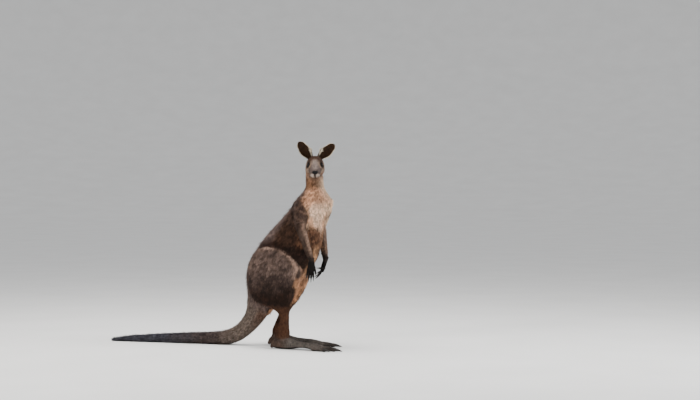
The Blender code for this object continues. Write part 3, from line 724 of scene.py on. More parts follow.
# Soft rises and hollows of the head: place x, y outward, z; spread along each; height.
HEAD_FORMS = (
    ((0.034, 0.031, 0.037), (0.016, 0.011, 0.007), 0.0034),  # brow over the eye
    ((0.012, 0.038, 0.030), (0.012, 0.010, 0.010), 0.0012),  # behind the brow
    ((0.054, 0.026, 0.012), (0.013, 0.010, 0.013), -0.0034),  # hollow before the eye
    ((0.032, 0.044, -0.008), (0.022, 0.012, 0.008), 0.0030),  # cheekbone
    ((0.002, 0.048, -0.030), (0.020, 0.014, 0.020), 0.0030),  # jaw muscle
    ((0.052, 0.034, -0.028), (0.014, 0.012, 0.010), -0.0026),  # hollow under the cheekbone
    ((0.100, 0.021, -0.018), (0.016, 0.011, 0.011), 0.0042),  # whisker pad
    ((0.114, 0.008, -0.019), (0.010, 0.011, 0.009), 0.0072),  # lip under the nose
    ((0.108, 0.019, 0.002), (0.012, 0.009, 0.012), 0.0030),  # beside the nose
    ((0.108, 0.000, 0.010), (0.013, 0.013, 0.007), 0.0042),  # top of the muzzle behind the nose
    ((0.086, 0.016, 0.008), (0.018, 0.012, 0.010), 0.0016),  # side of the nose bone
    ((0.082, 0.000, 0.026), (0.022, 0.007, 0.012), 0.0012),  # bridge
    ((0.016, 0.000, 0.052), (0.034, 0.005, 0.016), -0.0014),  # furrow of the forehead
    ((0.002, 0.042, 0.026), (0.012, 0.010, 0.012), -0.0024),  # temple
    ((0.106, 0.000, -0.037), (0.014, 0.015, 0.010), 0.0056),  # chin
    ((0.074, 0.026, -0.046), (0.020, 0.012, 0.009), -0.0022),  # under the jaw's edge
)


MOUTH_DEPTH = 0.0026  # of the groove between the lips
HEEL_TUCK = 0.010  # the back of the heel moved forward over its corner
EYE_PIT = 0.0095  # the pit's floor, from the middle of the eye


def mouth_height(x):
    """The mouth's line in the head's axes: nearly level, falling a little and curling up at the corner."""
    return -0.0275 - 0.06 * (0.112 - x) + 0.004 * hill(x, 0.056, 0.008)


def sculpted(points, normals):
    """The head's forms as bells moved along the normal, the mouth's groove, and a pit for each eye."""
    local = head_places(points)
    near = step(local[:, 0], -0.06, -0.03) * (np.linalg.norm(local, axis=1) < 0.2)
    rise = np.zeros(len(points))
    for place, spread, height in HEAD_FORMS:
        rise += height * np.exp(-((((local - place) / spread) ** 2).sum(axis=1)))
    groove = hill(local[:, 2], mouth_height(local[:, 0]), 0.0022) * step(local[:, 0], 0.046, 0.058)
    points = points + normals * ((rise - MOUTH_DEPTH * groove) * near)[:, None]
    for side in SIDES:
        heel = points - np.array(HEEL[side])
        above = step(heel[:, 0], 0.030, 0.0) * step(np.abs(heel[:, 1]), 0.06, 0.04) * hill(heel[:, 2], 0.056, 0.020)
        points = points + np.outer(HEEL_TUCK * above, FORWARD)
        offset = points - eye_centre(side)
        far = np.linalg.norm(offset, axis=1)
        pit = step(far, 0.0190, 0.0150)
        points = points + unit(offset) * ((EYE_PIT - far) * pit)[:, None]
    return points


def eye_centre(side):
    return np.array(mirrored_head_frame(side) @ EYE_AT)


def eye_opening(cosine, more):
    """Half the opening's angle, from the cosine of the way round it: wide at the corners. More is added in degrees."""
    return np.radians(33 + 21 * np.abs(cosine) ** 2.2 + more)


def eye_axes(side):
    """The way the eye looks, the long axis of its opening and its short axis."""
    turn = mirrored_head_frame(side).to_3x3()
    look = np.array((turn @ EYE_LOOK).normalized())
    long = np.array(turn @ Vector((0.98, -0.12, -0.16)))
    long = unit(long - look * (long @ look))
    return look, long, np.cross(look, long) * side_sign(side)


# The lids' rings: angle beyond the opening in degrees, distance from the middle of the eye.
LID_RINGS = (
    (-1.0, 0.01285),
    (0.5, 0.01385),
    (3.0, 0.01450),
    (8.0, 0.01485),
    (13.0, 0.01455),
    (18.0, 0.01495),
    (25.0, 0.01490),
    (33.0, 0.01540),
    (42.0, 0.01640),
    (52.0, 0.01760),
    (64.0, 0.01780),
)


def lid_shell(side):
    """Both lids as rings about the eye's look: an almond edge on the ball, a rolled rim, two folds and a skirt."""
    look, long, short = eye_axes(side)
    centre = eye_centre(side)
    turn = turns(LID_SIDES)
    c, s = np.cos(turn), np.sin(turn)
    opening = eye_opening(c, -3 * np.clip(-s, 0, 1))
    rings = []
    for beyond, far in LID_RINGS:
        angle = opening + math.radians(beyond)
        around = long[None, :] * c[:, None] + short[None, :] * s[:, None]
        rings.append(centre + far * (look * np.cos(angle)[:, None] + around * np.sin(angle)[:, None]))
    rings = np.array(rings)
    _, _, quads = ring_quads(len(LID_RINGS), LID_SIDES)
    if facing_in(rings.reshape(-1, 3), quads, centre):
        quads = quads[:, ::-1]
    return rings.reshape(-1, 3), quads


def facing_in(points, quads, centre):
    """True if most faces look toward a centre."""
    a, b, c = points[quads[:, 0]], points[quads[:, 1]], points[quads[:, 2]]
    return (np.cross(b - a, c - b) * (a - centre)).sum() < 0


def ear_frame(side):
    lean = Matrix.Rotation(math.radians(-EAR_LEAN[side]), 4, "X")
    sweep = Matrix.Rotation(math.radians(-EAR_SWEEP), 4, "Y")
    out = Matrix.Rotation(math.radians(EAR_OUT), 4, "Z")
    return mirrored_head_frame(side) @ Matrix.Translation(EAR_BASE) @ lean @ sweep @ out


def ear_shell(side):
    """A cupped leaf: crescents up the ear, round the back of the wall from edge to edge and back inside.

    Also gives each point's share up the ear, place across it from -1 to 1, and 1 where it is inside the hollow.
    """
    rows = smooth_rows(EAR, 6)
    share, reach = rows[:, 0:1], np.radians(rows[:, 2:3])
    half_width = rows[:, 1:2] * (0.99 + 0.13 * hill(share, 0.42, 0.30)) * (1 + 0.25 * step(share, 0.68, 0.92))
    radius = half_width / np.sin(np.minimum(reach, np.pi / 2))
    across = np.sin(np.linspace(-1, 1, 25) * np.pi / 2)[None, :]
    thin = 0.55 + 0.45 * np.sqrt(1 - np.minimum(np.abs(across), 1) ** 2)
    wall = EAR_WALL * thin * (1.6 - 0.9 * step(share, 0, 0.3))
    # The hollow isn't even.
    wave = -0.0006 * (1 + np.sin(across * 5 + share * 9)) * np.sin(np.pi * np.clip(share, 0, 1))
    rings, places = [], []
    for inside, order in ((0, slice(None)), (1, slice(None, None, -1))):
        r = radius + (wall / 2 if not inside else wave - wall / 2)
        a = reach * across
        ring = np.stack([radius * np.cos(reach) - r * np.cos(a), r * np.sin(a), share * EAR_LENGTH + 0 * a], axis=-1)
        rings.append(ring[:, order])
        place = np.stack([share + 0 * a, across + 0 * a, np.full(a.shape, float(inside))], axis=-1)
        places.append(place[:, order])
    rings, places = np.concatenate(rings, axis=1), np.concatenate(places, axis=1)
    count, around = rings.shape[:2]
    points = placed(ear_frame(side), rings.reshape(-1, 3))
    index, _, quads = ring_quads(count, around)
    half = around // 2
    # The open tip and base are closed by faces between the outer and the inner wall.
    for ring, flip in ((index[0], True), (index[-1], False)):
        outer, inner = ring[:half], ring[half:][::-1]
        cap = np.stack([outer[:-1], outer[1:], inner[1:], inner[:-1]], axis=-1)
        quads = np.concatenate([quads, cap if flip else cap[:, ::-1]])
    if side == "right":
        quads = quads[:, ::-1]
    return points, quads, places.reshape(-1, 3)


# The coat's colours in linear light.
COAT = {
    "back": (0.130, 0.089, 0.077),
    "flank": (0.039, 0.019, 0.011),
    "rust": (0.120, 0.040, 0.016),
    "brown": (0.130, 0.060, 0.032),
    "chest": (0.780, 0.530, 0.370),
    "chest_tan": (0.600, 0.350, 0.210),
    "belly": (0.420, 0.225, 0.120),
    "groin": (0.490, 0.250, 0.134),
    "neck": (0.165, 0.080, 0.041),
    # partly pale fur and partly painted rim light
    "neck_pale_and_lit": (0.820, 0.580, 0.400),
    "thigh": (0.059, 0.038, 0.031),
    # painted light from above on the thigh's top
    "thigh_top_lit": (0.120, 0.080, 0.064),
    # painted shade toward the knee
    "thigh_low_shade": (0.018, 0.0075, 0.0040),
    # painted shade for creases
    "crease_shade": (0.012, 0.0036, 0.0013),
    "shoulder": (0.062, 0.036, 0.026),
    # the pale band round the thigh's top and front: partly pale fur, partly painted rim light
    "lit_pale_fold": (0.600, 0.390, 0.290),
    "shank": (0.066, 0.027, 0.013),
    "foot": (0.105, 0.088, 0.076),
    "toe": (0.040, 0.033, 0.028),
    "tail": (0.053, 0.038, 0.034),
    "tail_root": (0.118, 0.088, 0.070),
    "throat": (0.470, 0.245, 0.140),
    "tail_end": (0.041, 0.040, 0.049),
    # partly pale fur and partly painted light
    "arm": (0.073, 0.046, 0.034),
    "arm_edge_pale_and_lit": (0.330, 0.205, 0.145),
    "hand": (0.0048, 0.0030, 0.0022),
    "crown": (0.038, 0.020, 0.013),
    "bridge": (0.178, 0.136, 0.118),
    # dark round the eyes and on the mouth's line; round the eyes it also holds painted shadow of the brow
    "eye_ring": (0.003, 0.0015, 0.001),
    "cheek": (0.190, 0.128, 0.092),
    "muzzle": (0.074, 0.053, 0.046),
    "lip": (0.400, 0.312, 0.255),
    # darker under the jaw, painted shade under the lower lip
    "chin": (0.125, 0.064, 0.040),
    "ear_in": (0.042, 0.019, 0.008),
    "ear_rim": (0.760, 0.650, 0.500),
    "ear_back": (0.110, 0.076, 0.060),
    "sole": (0.020, 0.017, 0.015),
    "lid": (0.014, 0.009, 0.007),
}
# Per mass: length of a tuft, its width, its lift from the skin in degrees, tufts to a square metre.
TUFTS = {
    "trunk": (0.0250, 0.0021, 25, 310000),
    "tail": (0.0155, 0.0018, 20, 360000),
    "leg": (0.0215, 0.0020, 23, 330000),
    "foot": (0.0072, 0.0012, 14, 620000),
    "toe": (0.0052, 0.0011, 14, 700000),
    "upper_arm": (0.0165, 0.0017, 20, 400000),
    "forearm": (0.0115, 0.0014, 16, 540000),
    "palm": (0.0058, 0.0011, 15, 800000),
    "finger": (0.0036, 0.0009, 13, 950000),
    "head": (0.0080, 0.0010, 8, 1050000),
}


def tuft_kind(guide):
    return "toe" if guide.mass.startswith("toe") else "finger" if guide.mass.startswith("finger") else guide.mass


def between(x, start, full, falling, end):
    """Eased up from start to full, and down again from falling to end."""
    return step(x, start, full) * step(x, end, falling)


def mixed(colour, name, mask):
    """A colour brought toward a named one by a mask from 0 to 1."""
    return colour + (np.array(COAT[name]) - colour) * np.clip(mask, 0, 1)[:, None]


def layered(colour, share, layers):
    """A colour brought toward named ones in turn, each by its mask times the share."""
    for name, mask in layers:
        colour = mixed(colour, name, share * mask)
    return colour


def plain(name, count):
    """One named colour for every point."""
    return np.repeat(np.array([COAT[name]]), count, axis=0)


class Cover:
    """A stretch of skin as arrays, with what grows on each point."""

    def __init__(self, points, triangles, lie, mass, colour, length, width, lift, density):
        self.points, self.triangles = points, triangles
        self.normals = point_normals(points, triangles)
        self.lie = unit(lie - self.normals * (lie * self.normals).sum(axis=1)[:, None])
        self.mass, self.colour, self.density = mass, colour, density
        self.length, self.width, self.lift = length, width, lift
        self.mottle = step(length, 0.004, 0.020) * (1 - 0.55 * step(colour[:, 1], 0.15, 0.40))


def trunk_colour(colour, share, angle, points):
    """Pale chest and belly, rust beside them, brown between, and the neck's mottled front with its left side pale,
    partly pale fur and partly painted rim light.
    """
    left, z = np.degrees(angle), points[:, 2]
    ragged = 12 * (noise(points, 0.035, 11) - 0.5) + 8 * (noise(points, 0.012, 12) - 0.5)
    front = np.abs(left) + ragged
    # The pale chest reaches less far round the right side, and its lower edge breaks up in streaks.
    reach = front + 17 * step(left, 0, -25) * step(z, 0.86, 0.80)
    z = z + 0.0012 * ragged
    low = z + 0.11 * (noise(points * (1, 1, 0.3), 0.013, 19) - 0.5)
    layers = (
        ("flank", step(front, 116, 86) * between(z, 0.36, 0.46, 0.70, 0.80)),
        # painted shade in the crease before the thigh
        ("crease_shade", step(front, 62, 44) * step(z, 0.60, 0.53)),
        ("brown", step(front, 54, 36) * step(z, 0.53, 0.57)),
        ("shoulder", step(reach, 122, 90) * between(z, 0.66, 0.72, 0.79, 0.84)),
        ("chest_tan", step(reach, 84, 38) * step(z, 0.64, 0.68)),
        ("throat", step(reach, 98, 48) * step(z, 0.74, 0.80)),
        ("chest", step(reach + 500 * (z - low), 50, 24) * step(low, 0.625, 0.725) * step(z, 0.81, 0.74)),
        ("belly", step(front, 17, 5) * step(z, 0.575, 0.53)),
        ("belly", hill(left, 42, 17) * between(z, 0.50, 0.54, 0.66, 0.72)),
        ("groin", step(front, 44, 28) * step(z, 0.400, 0.375)),
        ("neck", step(front, 105, 75) * step(z, 0.840, 0.880)),
        # the neck's left side pale, partly pale fur and partly painted rim light
        ("neck_pale_and_lit", hill(left, 68, 42) * step(z, 0.68, 0.76)),
        ("brown", hill(left, 50, 8) * between(z, 0.66, 0.70, 0.77, 0.80) * 0.7),
    )
    return layered(colour, share, layers)


def leg_side_place(points, guide):
    """A leg point seen from the side: its distance from the thigh's middle as a share, and its angle from forward."""
    x = points[:, 0] + set_back(points[:, 2], guide.side)
    ahead, above = (x - 0.018) / 0.157, (points[:, 2] - 0.385) / 0.163
    return np.hypot(ahead, above), np.degrees(np.arctan2(above, ahead))


def leg_colour(colour, share, angle, points, guide):
    """Dark thigh, lighter over its top as painted light from above and darker toward the knee as painted shade; tan
    inside and a pale rim round its lower front, each partly pale fur and partly painted rim light; brown shank.
    """
    z = points[:, 2]
    forward, outer = np.cos(angle), np.sin(angle) * side_sign(guide.side)
    far, way = leg_side_place(points, guide)
    ragged = 0.06 * (noise(points, 0.03, 13) - 0.5)
    rim = far + 0.7 * ragged - 0.0048 * np.clip(-15 - way, 0, 40)
    layers = (
        ("thigh", 1),
        # lighter top as painted light from above, darker toward the knee as painted shade
        ("thigh_top_lit", step(z + ragged, 0.37, 0.45)),
        ("thigh_low_shade", step(z + ragged, 0.41, 0.28) * step(z, 0.20, 0.24)),
        # tan inside and a pale rim round the lower front, partly pale fur and partly painted rim light
        ("groin", step(outer, 0.15, -0.45) * step(forward, -0.55, 0.0) * step(z, 0.22, 0.27)),
        ("groin", step(rim, 0.83, 0.89) * between(way, -74, -60, -5, 5) * step(z, 0.235, 0.255)),
        ("shank", step(z, 0.245, 0.215)),
        ("rust", hill(z, 0.225, 0.02) * step(forward, -0.3, -0.7) * 0.8),
    )
    return layered(colour, share, layers)


def head_colour(colour, share, points):
    """Dark crown, grey bridge that narrows to the nose, dark round the eyes and stretched up and down with painted
    shadow of the brow, whitish lips, a darker chin with painted shade under the lower lip, and a dark mouth line.
    """
    x, y, z = head_places(points).T
    ragged = 0.004 * (noise(points, 0.008, 14) - 0.5)
    y = y + ragged
    wide = 0.0060 - 0.060 * np.clip(x - 0.030, 0, 0.1)
    eye = np.sqrt(((x - 0.029) / 0.018) ** 2 + ((y - 0.036) / 0.021) ** 2 + ((z - 0.015) / 0.021) ** 2)
    edge = -0.004 + 0.34 * (x - 0.112) + ragged
    lip = step(x, 0.074, 0.098) * step(z, edge + 0.003, edge - 0.011) * step(z, -0.0262, -0.0120)
    groove = step(y, 0.0036, 0.0016) * step(x, 0.104, 0.110) * between(z, -0.029, -0.026, 0.000, 0.004)
    layers = (
        ("cheek", 1),
        ("crown", step(z, 0.012, 0.032) * step(x, 0.050, 0.020)),
        ("muzzle", step(x, 0.045, 0.065) * step(z, -0.026, -0.012)),
        ("bridge", step(y, wide + 0.017, wide) * step(x, 0.010, 0.048) * step(z, -0.004, 0.010)),
        ("muzzle", step(x, 0.082, 0.104) * step(z, -0.010, 0.000) * 0.7),
        # taller than wide, taking in painted shadow of the brow
        ("eye_ring", step(eye, 1.15, 0.72)),
        ("eye_ring", hill(x, 0.056, 0.012) * hill(z, 0.000, 0.009) * step(y, 0.012, 0.022) * 0.5),
        # painted shade under the lower lip, over the underside of the jaw
        ("chin", step(z, -0.020, -0.027) * step(x, -0.01, 0.03)),
        ("lip", lip * between(y, 0.0015, 0.0085, 0.018, 0.034)),
        ("eye_ring", groove),
        ("eye_ring", hill(z, mouth_height(x), 0.0017) * step(x, 0.052, 0.064) * 0.85),
    )
    return layered(colour, share, layers)


def tail_colour(colour, share, angle, end, points):
    """Grey-brown root with rust below it, darker along its length and blackish at the end."""
    ragged = end + 0.12 * (noise(points, 0.03, 15) - 0.5)
    layers = (
        ("tail_root", 1),
        ("tail", step(end, 0.22, 0.45)),
        ("rust", step(np.cos(angle), -0.1, -0.7) * hill(end, 0.09, 0.07) * 0.5),
        ("tail_end", step(ragged, 0.42, 0.72)),
    )
    return layered(colour, share, layers)


def arm_colour(colour, share, angle, z, side):
    """Grey-brown, black at the wrist, the right dark midway; pale at the front edge and the left pale above, each
    partly pale fur and partly painted rim light; the left's inside lightened as painted light.
    """
    forward, left = np.cos(angle), np.sin(angle)
    layers = [("arm", 1), ("shoulder", step(z, 0.60, 0.66))]
    if side == "right":
        layers.append(("flank", step(z, 0.63, 0.56) * 0.5))
    # the front edge lightened, partly pale fur and partly painted rim light
    layers.append(("arm_edge_pale_and_lit", step(forward, 0.35, 0.90) * between(z, 0.47, 0.52, 0.66, 0.72) * 0.75))
    if side == "left":
        # the left arm's top pale, partly pale fur and partly painted light; its inside lightened as painted light
        layers.append(("neck_pale_and_lit", step(z, 0.62, 0.70) * step(forward, -0.1, 0.7) * 0.8))
        layers.append(("arm_edge_pale_and_lit", step(left, 0.5, -0.4) * between(z, 0.46, 0.50, 0.64, 0.68) * 0.55))
    layers.append(("hand", step(z, 0.535, 0.475)))
    return layered(colour, share, layers)


def thigh_folds(points):
    """Masks of the pale band round each thigh's top and front, partly pale fur and partly painted rim light, and of the
    darkened strip beyond it, painted shade.
    """
    lit_pale_fold, beyond = np.zeros((2, len(points)))
    for guide in guides:
        if guide.mass == "leg":
            far, way = leg_side_place(points, guide)
            near = step(points[:, 1] * side_sign(guide.side), 0.03, 0.06)
            rim = np.interp(way, (0, 8, 20, 40), (0.85, 0.90, 0.955, 0.970)) + 0.02 * (noise(points, 0.02, 17) - 0.5)
            edge = np.where(far < rim, hill(far, rim, 0.060), hill(far, rim, 0.026)) * (0.80 - 0.35 * step(way, 45, 75))
            lit_pale_fold = np.maximum(lit_pale_fold, near * edge * step(way, -4, 4) * step(way, 126, 96))
            outside = step(far, rim + 0.01, rim + 0.09) * step(far, 1.36, 1.12)
            beyond = np.maximum(beyond, near * outside * between(way, 8, 26, 120, 150))
    return lit_pale_fold, beyond


def body_cover(points, triangles):
    """What grows on the merged skin.

    Each mass's share at a point falls with the eighth power of how far outside the mass the point is.
    """
    normals = point_normals(points, triangles)
    points = sculpted(points, normals)
    points[:, 2] = np.maximum(points[:, 2], FLOOR_GAP)  # the soles and the tail lie on the floor, not in it
    reads = [guide.read(points) for guide in guides]
    weight = np.stack([np.maximum(read[0], 0.3) ** -8.0 for read in reads])
    weight /= weight.sum(axis=0)
    lie = sum(weight[k][:, None] * read[3] for k, read in enumerate(reads))
    lie = lie + 0.35 * np.stack([noise(points, 0.06, s) - 0.5 for s in (21, 22, 23)], axis=-1)
    made = np.stack([np.array(TUFTS[tuft_kind(guide)], float) for guide in guides])
    length, width, lift, density = np.einsum("gp,gk->kp", weight, made)
    colour = plain("back", len(points))
    z = points[:, 2]
    # Up here the arms wear the trunk's markings, and the right shoulder is darker, painted shade under the arm.
    shoulder = step(z + 0.03 * (noise(points, 0.02, 18) - 0.5), 0.66, 0.76)
    arm = {guide.side: weight[k] for k, guide in enumerate(guides) if guide.mass == "upper_arm"}
    for guide, share, (_, angle, along, _) in zip(guides, weight, reads):
        if guide.mass == "trunk":
            with_arms = share + (arm["right"] + arm["left"]) * shoulder
            colour = trunk_colour(colour, with_arms, angle - np.radians(26) * arm["right"], points)
            front = step(np.degrees(np.abs(angle)), 80, 40)
            length = length * (1 - share * (0.42 * step(z, 0.80, 0.88) + 0.24 * front * step(z, 0.86, 0.78)))
            width = width * (1 - share * 0.28 * step(z, 0.80, 0.88))
        elif guide.mass == "tail":
            end = along / guide.along[-1]
            colour = tail_colour(colour, share, angle, end, points)
            crest = share * step(np.cos(angle), 0.2, 0.8) * step(end, 0.15, 0.35)
            length = length * (1 + 0.15 * crest + 0.25 * share * step(end, 0.7, 0.9))
            lift = lift + 10 * crest + 6 * share * step(end, 0.7, 0.9)
        elif guide.mass == "leg":
            colour = leg_colour(colour, share, angle, points, guide)
            below = share * step(z, 0.27, 0.20)
            length, width = length * (1 - 0.52 * below), width * (1 - 0.35 * below)
            density = density * (1 + 0.5 * below)
            length = length * (1 - 0.55 * share * step(z, 0.085, 0.045))
        elif guide.mass == "head":
            colour = head_colour(colour, share, points)
            x, y, up = head_places(points).T
            apart = placed(head_frame().inverted(), points)[:, 1:2] / np.maximum(y, 0.004)[:, None]
            outward = np.hstack([0 * apart, apart, np.full_like(apart, -0.9)]) @ np.array(head_frame().to_3x3()).T
            lie = lie + outward * (2.2 * share * step(x, 0.096, 0.110) * step(up, 0.004, -0.004))[:, None]
            short = share * step(x, 0.03, 0.09)
            length, width = length * (1 - 0.66 * short), width * (1 - 0.30 * short)
            density = density * (1 + 0.5 * short)
        elif guide.mass in ("upper_arm", "forearm"):
            share = share * (1 - shoulder)
            colour = arm_colour(colour, share, angle, z, guide.side)
            wrist = share * step(z, 0.53, 0.48)
            length, lift = length * (1 - 0.40 * wrist), lift * (1 - 0.4 * wrist)
        elif guide.mass == "palm":
            colour = mixed(colour, "hand", share)
        else:
            near_heel = step(points[:, 0] - HEEL[guide.side][0], 0.115, 0.045)
            colour = layered(colour, share, (("foot", 1), ("shank", near_heel * 0.6)))
            if guide.mass.startswith("toe"):
                colour = mixed(colour, "toe", share * step(along, 0.02, 0.09))
    heel = far_from(points, [np.array(HEEL[side]) + (0, 0, 0.03) for side in SIDES])
    length = length * (1 - 0.5 * step(heel, 0.075, 0.045))
    hand = step(far_from(points, KNUCKLES.values()), 0.070, 0.045)
    length, lift = length + (np.minimum(length, 0.0052) - length) * hand, lift * (1 - 0.35 * hand)
    colour = mixed(colour, "hand", hand * step(hand, 0.5, 1.0))
    mass = weight.argmax(axis=0)
    lit_pale_fold, beyond = thigh_folds(points)
    # painted shade in the crease beyond each thigh's top, then the pale band, partly pale fur and partly painted rim
    # light
    colour = mixed(mixed(colour, "crease_shade", beyond * 0.85), "lit_pale_fold", lit_pale_fold)
    length = length * (1 - 0.35 * lit_pale_fold)
    bare = ((normals[:, 2] < -0.55) & (z < 0.016) & (points[:, 0] > -0.12)).astype(float)
    colour = mixed(colour, "sole", bare)
    density = density * (1 - bare) * eye_clear(points)
    nose = np.linalg.norm((head_places(points) - np.array(NOSE_AT)) / np.array(NOSE_SIZE), axis=1)
    density = density * step(nose, 1.02, 1.25)
    return Cover(points, triangles, lie, mass, colour, length, width, lift, density)


def eye_clear(points):
    """0 over the eye's opening and 1 away from it."""
    return step(far_from(points, [eye_centre(side) for side in SIDES]), 0.0150, 0.0185)


def lid_cover(side):
    """The lids: dark and bare at the rim, with very short coat on their outer folds."""
    points, quads = lid_shell(side)
    count = len(points)
    ring = np.repeat(np.arange(len(LID_RINGS)), LID_SIDES)
    colour = plain("lid", count)
    skin = head_colour(plain("back", count), np.ones(count), points)
    colour = colour + (skin - colour) * step(ring, 3, 6)[:, None]
    mass = np.full(count, [guide.mass for guide in guides].index("head"))
    lie = -np.repeat(np.array(head_frame().to_3x3() @ Vector((1, 0, 0)))[None, :], count, axis=0)
    length, width, lift = (np.full(count, value) for value in (0.0028, 0.0008, 9.0))
    density = 1100000.0 * step(ring, 3.5, 6) * (ring < 9)
    return Cover(points, halved(quads), lie, mass, colour, length, width, lift, density)


def ear_cover(side):
    """An ear: grey-brown behind, dark in its hollow, cream at both edges, with long pale hair low on the inner edge."""
    points, quads, place = ear_shell(side)
    up, across, inside = place.T
    edge = np.abs(across)
    medial = step(-across, 0.2, 0.8)
    rim = np.where(inside > 0, step(edge, 0.90, 0.97), step(edge, 0.80, 0.97)) * step(up, 0.03, 0.12)
    tuft = inside * medial * hill(up, 0.27, 0.13) * step(edge, 0.50, 0.72)
    over = step(-across, 0.80, 0.95) * hill(up, 0.26, 0.16)  # hair that crosses the hollow from its inner edge
    layers = (
        ("ear_in", inside * step(edge, 0.97, 0.88)),
        ("crown", (1 - inside) * step(up, 0.35, 0.05) * 0.6),
        ("ear_rim", rim * (1 - 0.35 * step(up, 0.93, 1.0))),
        ("ear_rim", tuft),
        ("ear_rim", over),
    )
    colour = layered(plain("ear_back", len(points)), 1, layers)
    frame = np.array(ear_frame(side).to_3x3())
    lie = frame[:, 2][None, :] + frame[:, 1][None, :] * over[:, None]
    length = 0.0060 - 0.0022 * inside * (1 - tuft) + 0.0080 * np.maximum(tuft, over)
    lift = 14 + 42 * tuft + 6 * rim
    density = 900000.0 * (1 - 0.35 * inside * (1 - tuft)) * step(up, -0.08, -0.02)
    mass = np.full(len(points), EAR_MASS + SIDES.index(side))
    return Cover(points, halved(quads), lie, mass, colour, length, np.full(len(points), EAR_TUFT), lift, density)


def finger_cover(number, guide):
    """A finger: short black coat over its back, bare below."""
    points, faces = rounded(guide, 20)
    quads = np.array([face for face in faces if len(face) == 4])
    caps = [np.array(face) for face in faces if len(face) != 4]
    fans = [np.stack([np.full(len(cap) - 2, cap[0]), cap[1:-1], cap[2:]], axis=-1) for cap in caps]
    triangles = np.concatenate([halved(quads), *fans])
    if facing_in(points, quads, points.mean(axis=0)):
        triangles = triangles[:, ::-1]
    _, _, along, flow = guide.read(points)
    count = len(points)
    normals = point_normals(points, triangles)
    back = step(normals @ unit(np.array(HAND_BACK[guide.side])), -0.5, 0.0)
    length, width, lift, density = TUFTS["finger"]
    colour = mixed(plain("hand", count), "sole", 1 - back)
    ends = step(guide.along[-1] - along, -0.001, 0.004)
    mass = np.full(count, FINGER_MASS + number)
    length, width, lift = (np.full(count, float(value)) for value in (length, width, lift))
    return Cover(points, triangles, flow, mass, colour, length, width, lift, density * back * ends)


def sampled(cover, share, spots):
    """Roots by area times density: equal steps along the running total over triangles, and a random place in each."""
    a, b, c = (cover.points[cover.triangles[:, k]] for k in range(3))
    area = np.linalg.norm(np.cross(b - a, c - a), axis=1) / 2
    wanted = np.cumsum(area * cover.density[cover.triangles].mean(axis=1) * share)
    count = int(wanted[-1])
    pick = np.searchsorted(wanted, np.arange(count) + spots.random(count))
    pick = np.minimum(pick, len(wanted) - 1)
    u, v = spots.random(count), spots.random(count)
    over = u + v > 1
    u, v = np.where(over, 1 - u, u), np.where(over, 1 - v, v)
    mix = np.stack([1 - u - v, u, v], axis=-1)
    corners = cover.triangles[pick]

    def spread(values):
        chosen = values[corners]
        return (chosen * (mix[..., None] if chosen.ndim == 3 else mix)).sum(axis=1)

    roots = {key: spread(getattr(cover, key)) for key in ("colour", "length", "width", "lift", "mottle")}
    roots |= {"at": spread(cover.points), "normal": unit(spread(cover.normals)), "lie": unit(spread(cover.lie))}
    return roots | {"mass": cover.mass[corners[:, 0]]}


def root_places(roots):
    """Each root's place on its mass's unrolled skin: angle round and distance along it, or across and up an ear."""
    places = np.zeros((len(roots["at"]), 2))
    for mass in np.unique(roots["mass"]):
        chosen = roots["mass"] == mass
        if mass < EAR_MASS or mass >= FINGER_MASS:
            guide = guides[mass] if mass < EAR_MASS else finger_guides[mass - FINGER_MASS]
            _, angle, along, _ = guide.read(roots["at"][chosen])
            local = along + 0.5 * (guide.along[1] - guide.along[0]) * np.sin(angle * 7)
            places[chosen] = np.column_stack([angle, local])
        else:
            side = SIDES[mass - EAR_MASS]
            local = placed(ear_frame(side).inverted(), roots["at"][chosen])
            facing = roots["normal"][chosen] @ np.array(ear_frame(side).to_3x3())[:, 0]
            places[chosen] = np.column_stack([local[:, 1] + np.where(facing > 0, 0.07, 0.0), local[:, 2]])
    return places


# Locks of three sizes, for the short, middling and long coat: their tufts' least and greatest reach, cell size, seed.
LOCKS = ((0, 0.0062, 0.0050, 31), (0.0062, 0.0115, 0.0090, 41), (0.0115, 1, 0.0150, 51))
# A tuft's five points are two at the root, two at the middle and the tip.
TUFT_QUADS = np.array(((0, 2, 3, 1),))
TUFT_TIPS = np.array(((2, 4, 3),))
TUFT_PATCH = np.array(((-0.7, -1), (0.7, -1), (-1, 0), (1, 0), (0, 1))) * 0.0014  # its patch in the map
TUFT_FLOOR = np.array((0.0014, 0.0014, 0.0009, 0.0009, 0.0005))  # least height, so that none goes into the ground
LONG_SHADE = (-0.44, -0.44, -0.03, -0.03, 0.22)  # painted shade at the root of a long tuft, and its lighter tip
# the same painted shade at the root and lighter tip for a short tuft, weaker
SHORT_SHADE = (-0.16, -0.16, 0, 0, 0.10)
ROOT_DEPTH = 0.0009  # of a tuft's root below the skin


